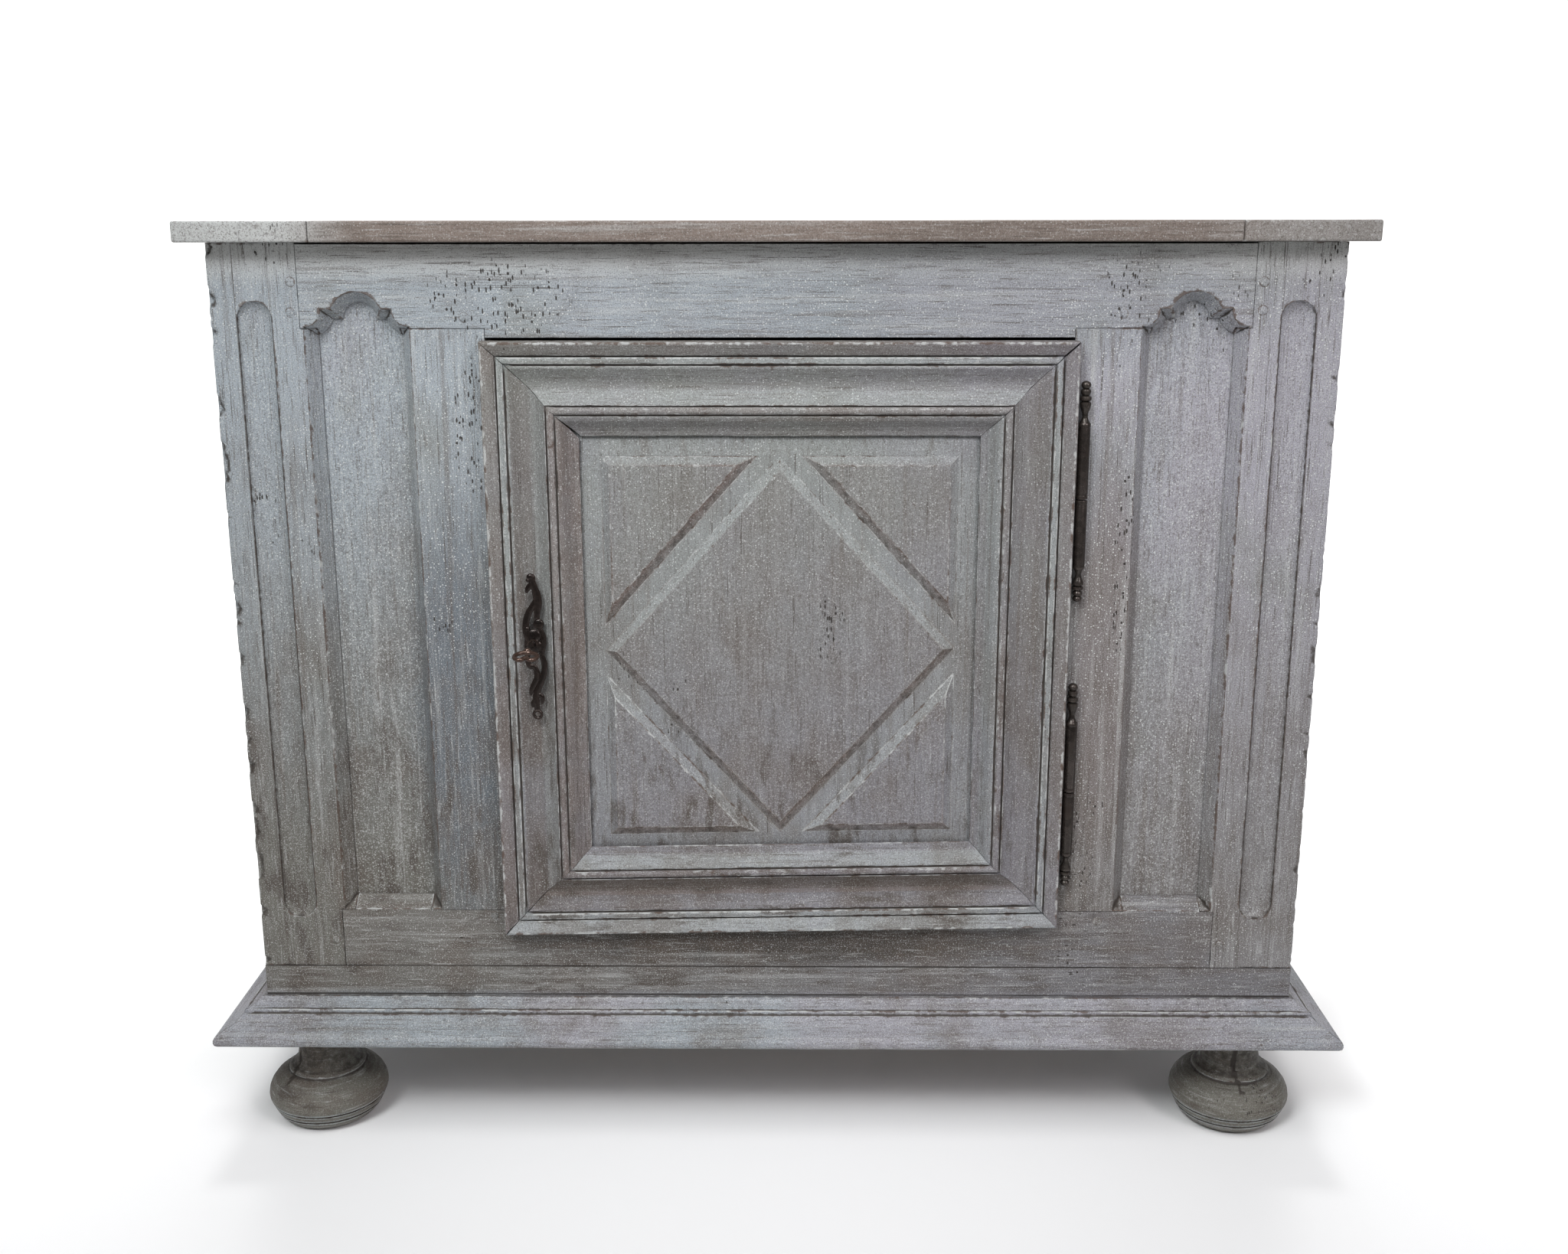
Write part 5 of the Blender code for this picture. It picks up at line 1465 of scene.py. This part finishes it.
# Bow of the key: thickness of its wire, depth, half width and lean, and depth and width of its pinch
KEY_WIRE = 0.0025
BOW_DEPTH = 0.0185
BOW_HALF = 0.0128
BOW_LEAN = 0.24
PINCH_DEPTH = 0.0062
PINCH_WIDTH = 0.0042
# Stem of the key from its bow on, with its collars: radius and distance, in millimetres
COLLARS = (
    (0, 0), (3.0, 0.6), (4.6, 2.0), (4.8, 3.4), (3.6, 4.6), (4.2, 5.8), (4.4, 6.8), (3.4, 8.0), (3.3, 12.0),
)
# Length of the stem that the hand has rubbed
HANDLED = 0.003
# Distance from the key's axis beyond which its bit lies, and how far the bit runs into the stem
BIT_FROM = 0.006
BIT_INNER = 0.0015


class BUFFET_OT_key(bpy.types.Operator):
    """Key with a pinched two-lobed bow, collared stem and bit"""

    bl_idname = "buffet.key"
    bl_label = "Key"

    def execute(self, context):
        low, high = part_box("key")
        bm = bmesh.new()
        front = low.y + KEY_WIRE
        self.bow(bm, front)
        stem = front + BOW_DEPTH - 0.001
        tall = high.y - stem
        profile = in_metres(COLLARS) + [(0.0033, tall - 0.0008), (0.0026, tall), (0, tall)]
        place = Matrix.Translation((KEY_AXIS.x, stem, KEY_AXIS.z)) @ Matrix.Rotation(-math.pi / 2, 4, "X")
        turned(bm, profile, place, steps=24)
        self.bit(bm)
        close_up(bm)
        mark(bm, gain=0.8)
        handled = layer(bm, "handled")
        for vert in bm.verts:
            vert[handled] = 1.0 if vert.co.y < stem + HANDLED else 0.0
        dress("key", "_forged", bm, "iron", smooth=45)
        return {"FINISHED"}

    def bow(self, bm, front):
        """Loop of wire, pinched at its far end."""
        def point(turn):
            across = BOW_HALF * math.sin(turn)
            away = BOW_DEPTH / 2 * (1 - math.cos(turn))
            away += PINCH_DEPTH * math.exp(-(across / PINCH_WIDTH) ** 2) * (0.5 + 0.5 * math.cos(turn))
            return Vector((KEY_AXIS.x + across, front + away, KEY_AXIS.z - BOW_LEAN * (BOW_DEPTH - away)))

        def station(turn):
            ahead = (point(turn + 0.01) - point(turn - 0.01)).normalized()
            return point(turn), Vector((ahead.y, -ahead.x, 0)), unit(2)

        wire_loop(bm, station, KEY_WIRE, steps=72, sides=12)

    def bit(self, bm):
        """Plate of the bit, where the CAD solid has it."""
        places = [vert.co for vert in frame["nodes"]["key"].data.vertices if vert.co.y > KEY_AXIS.y]
        low, high = box_of([place for place in places if (place.xz - KEY_AXIS.xz).length > BIT_FROM])
        if high.z < KEY_AXIS.z:
            high.z = KEY_AXIS.z - BIT_INNER
        elif low.z > KEY_AXIS.z:
            low.z = KEY_AXIS.z + BIT_INNER
        block(bm, low, high)


# Pegs of the front: across, and height under the top
PEGS = (
    (-0.5245, 0.0417), (-0.5269, 0.0742), (0.5266, 0.0425), (0.5271, 0.0725), (-0.338, 0.0796),
    (0.3771, 0.076), (0.5275, 0.8155), (-0.5275, 0.812), (0.3804, 0.7858), (-0.3353, 0.781),
)
# Pegs of a side: heights under the top, and distance from the front and from the back
SIDE_PEGS = (0.035, 0.068, 0.785, 0.815)
SIDE_PEG_INSET = 0.026
# Plug in the plinth: place, slope in degrees and size against a peg
PLUG_PLACE = (0.535, FACE_Y - 0.0352, FOOT_TOP + 0.0214)
PLUG_SLOPE = 31
PLUG_SHARE = 1.5
# How deep a peg runs into the timber
PEG_DEPTH = 0.004


class BUFFET_OT_pegs(bpy.types.Operator):
    """Pegs of the joints, and the plug in the plinth"""

    bl_idname = "buffet.pegs"
    bl_label = "Pegs"

    def execute(self, context):
        radius = sizes().peg
        forward = Matrix.Rotation(math.pi / 2, 4, "X")
        front = [Matrix.Translation((across, FACE_Y, TOP_Z - under)) @ forward for across, under in PEGS]
        self.group("pegs_front", front, "grey_paint", radius, steps=18)
        sides = []
        for sign in SIDES.values():
            outward = Matrix.Rotation(sign * math.pi / 2, 4, "Y")
            for deep in (FACE_Y + SIDE_PEG_INSET, BACK_Y - SIDE_PEG_INSET):
                for under in SIDE_PEGS:
                    sides.append(Matrix.Translation((sign * HALF, deep, TOP_Z - under)) @ outward)
        self.group("pegs_sides", sides, "grey_paint", radius, steps=18)
        slope = Matrix.Rotation(math.radians(PLUG_SLOPE), 4, "X")
        plug = Matrix.Translation(PLUG_PLACE) @ slope
        self.group("plinth_plug", [plug], "lower_paint", radius * PLUG_SHARE, steps=22)
        return {"FINISHED"}

    def group(self, name, places, slot, radius, steps):
        """One piece of all the pegs at some places."""
        rise = sizes().peg_rise
        profile = [
            (0, rise), (0.55 * radius, rise), (0.85 * radius, 0.8 * rise), (radius, 0.0001),
            (1.25 * radius, 0.0001), (1.3 * radius, -PEG_DEPTH), (0, -PEG_DEPTH),
        ]
        bm = bmesh.new()
        for place in places:
            turned(bm, profile, place, steps)
        close_up(bm)
        mark(bm, gain=0.8)
        weather(bm, waver=0.0002, seed=6.0)
        piece(name, bm, slot, "z", "carcass", smooth=45)


# Backdrop: half width, front edge, start, radius and top of its bend into a wall, and tone
BACKDROP_HALF = 9
BACKDROP_FRONT = -8
BACKDROP_BEND = 4
BACKDROP_RADIUS = 2
BACKDROP_TOP = 7
BACKDROP_TONE = (0.88, 0.88, 0.88, 1)
SKY_STRENGTH = 0.24

# Lights: place, target, size, power, tint and spread in degrees
FRONT_MIDDLE = (0, FACE_Y, 0.65)
LIGHTS = {
    "key_light": ((-1.1, -2.6, 2.9), FRONT_MIDDLE, 1.0, 10.8, (0.96, 0.985, 1.0), 62),
    "fill_light": ((1.9, -2.7, 2.4), FRONT_MIDDLE, 1.0, 5.2, (1.0, 0.95, 0.98), 62),
    "top_light": ((0.1, -1.6, 3.4), FRONT_MIDDLE, 1.4, 5.6, (1, 1, 1), 62),
    "backdrop_light": ((0.0, 2.4, 5.0), (0, 6, 1.2), 3.0, 520, (1, 1, 1), 180),
}

# Camera: sensor and lens in millimetres, place, and tilt, roll and turn in degrees
SENSOR = 36
LENS = 37.107
CAMERA_PLACE = (0.027, FACE_Y - 1.781, TOP_Z + 0.019)
CAMERA_ANGLES = (90 - 14.02, 0.07, 0.55)


class BUFFET_OT_stage(bpy.types.Operator):
    """Pale floor, soft studio light and the camera"""

    bl_idname = "buffet.stage"
    bl_label = "Stage"

    def execute(self, context):
        scene = context.scene
        scene.view_settings.view_transform = "Standard"
        self.backdrop(scene)
        world = bpy.data.worlds.new("studio")
        world.use_nodes = True
        sky = world.node_tree.nodes["Background"]
        sky.inputs["Color"].default_value = (1, 1, 1, 1)
        sky.inputs["Strength"].default_value = SKY_STRENGTH
        scene.world = world
        for name, (place, target, size, power, tint, spread) in LIGHTS.items():
            data = bpy.data.lights.new(name, "AREA")
            data.size = size
            data.spread = math.radians(spread)
            data.energy = power
            data.color = tint
            light = bpy.data.objects.new(name, data)
            light.location = place
            light.rotation_euler = (Vector(target) - Vector(place)).to_track_quat("-Z", "Y").to_euler()
            scene.collection.objects.link(light)
        data = bpy.data.cameras.new("camera")
        data.sensor_fit = "HORIZONTAL"
        data.sensor_width = SENSOR
        data.lens = LENS
        camera = bpy.data.objects.new("camera", data)
        camera.location = CAMERA_PLACE
        camera.rotation_euler = [math.radians(angle) for angle in CAMERA_ANGLES]
        scene.collection.objects.link(camera)
        scene.camera = camera
        return {"FINISHED"}

    def backdrop(self, scene):
        """Floor that bends up into a wall."""
        left = -BACKDROP_HALF
        bm = bmesh.new()
        bend = bm.verts.new((left, BACKDROP_BEND, 0))
        bm.edges.new((bm.verts.new((left, BACKDROP_FRONT, 0)), bend))
        curve = bmesh.ops.spin(
            bm, geom=[bend], cent=(left, BACKDROP_BEND, BACKDROP_RADIUS), axis=(1, 0, 0), dvec=(0, 0, 0),
            angle=math.pi / 2, steps=16,
        )
        last = next(item for item in curve["geom_last"] if isinstance(item, bmesh.types.BMVert))
        top = bm.verts.new((left, BACKDROP_BEND + BACKDROP_RADIUS, BACKDROP_TOP))
        bm.edges.new((last, top))
        made = bmesh.ops.extrude_edge_only(bm, edges=bm.edges[:])["geom"]
        far = [item for item in made if isinstance(item, bmesh.types.BMVert)]
        bmesh.ops.translate(bm, verts=far, vec=(2 * BACKDROP_HALF, 0, 0))
        bmesh.ops.recalc_face_normals(bm, faces=bm.faces)
        mesh = bpy.data.meshes.new("backdrop")
        bm.to_mesh(mesh)
        bm.free()
        mesh.shade_smooth()
        pale = bpy.data.materials.new("pale_backdrop")
        pale.use_nodes = True
        shader = pale.node_tree.nodes["Principled BSDF"]
        shader.inputs["Base Color"].default_value = BACKDROP_TONE
        shader.inputs["Roughness"].default_value = 0.9
        mesh.materials.append(pale)
        floor = bpy.data.objects.new("backdrop", mesh)
        scene.collection.objects.link(floor)


OPERATORS = (
    BUFFET_OT_top, BUFFET_OT_front_frame, BUFFET_OT_sides_and_back, BUFFET_OT_inside, BUFFET_OT_base,
    BUFFET_OT_plinth, BUFFET_OT_feet, BUFFET_OT_door_moulding, BUFFET_OT_door_panel, BUFFET_OT_hinges,
    BUFFET_OT_lock, BUFFET_OT_escutcheon, BUFFET_OT_key, BUFFET_OT_pegs, BUFFET_OT_stage,
)


class BUFFET_PT_pieces(bpy.types.Panel):
    """Pieces of the buffet, with their sizes and colours"""

    bl_label = "Buffet"
    bl_idname = "BUFFET_PT_pieces"
    bl_space_type = "VIEW_3D"
    bl_region_type = "UI"
    bl_category = "Buffet"

    def draw(self, context):
        layout = self.layout
        for group in (context.scene.buffet_sizes, context.scene.buffet_colours):
            box = layout.box()
            for name in group.bl_rna.properties.keys():
                if name not in ("rna_type", "name"):
                    box.prop(group, name)
        for operator in OPERATORS:
            layout.operator(operator.bl_idname)


CLASSES = (BuffetSizes, BuffetColours) + OPERATORS + (BUFFET_PT_pieces,)


def register():
    for item in CLASSES:
        bpy.utils.register_class(item)
    bpy.types.Scene.buffet_sizes = bpy.props.PointerProperty(type=BuffetSizes)
    bpy.types.Scene.buffet_colours = bpy.props.PointerProperty(type=BuffetColours)


def unregister():
    del bpy.types.Scene.buffet_colours
    del bpy.types.Scene.buffet_sizes
    for item in reversed(CLASSES):
        bpy.utils.unregister_class(item)


def main():
    register()
    for operator in OPERATORS:
        group, name = operator.bl_idname.split(".")
        getattr(getattr(bpy.ops, group), name)()


if __name__ == "__main__":
    main()
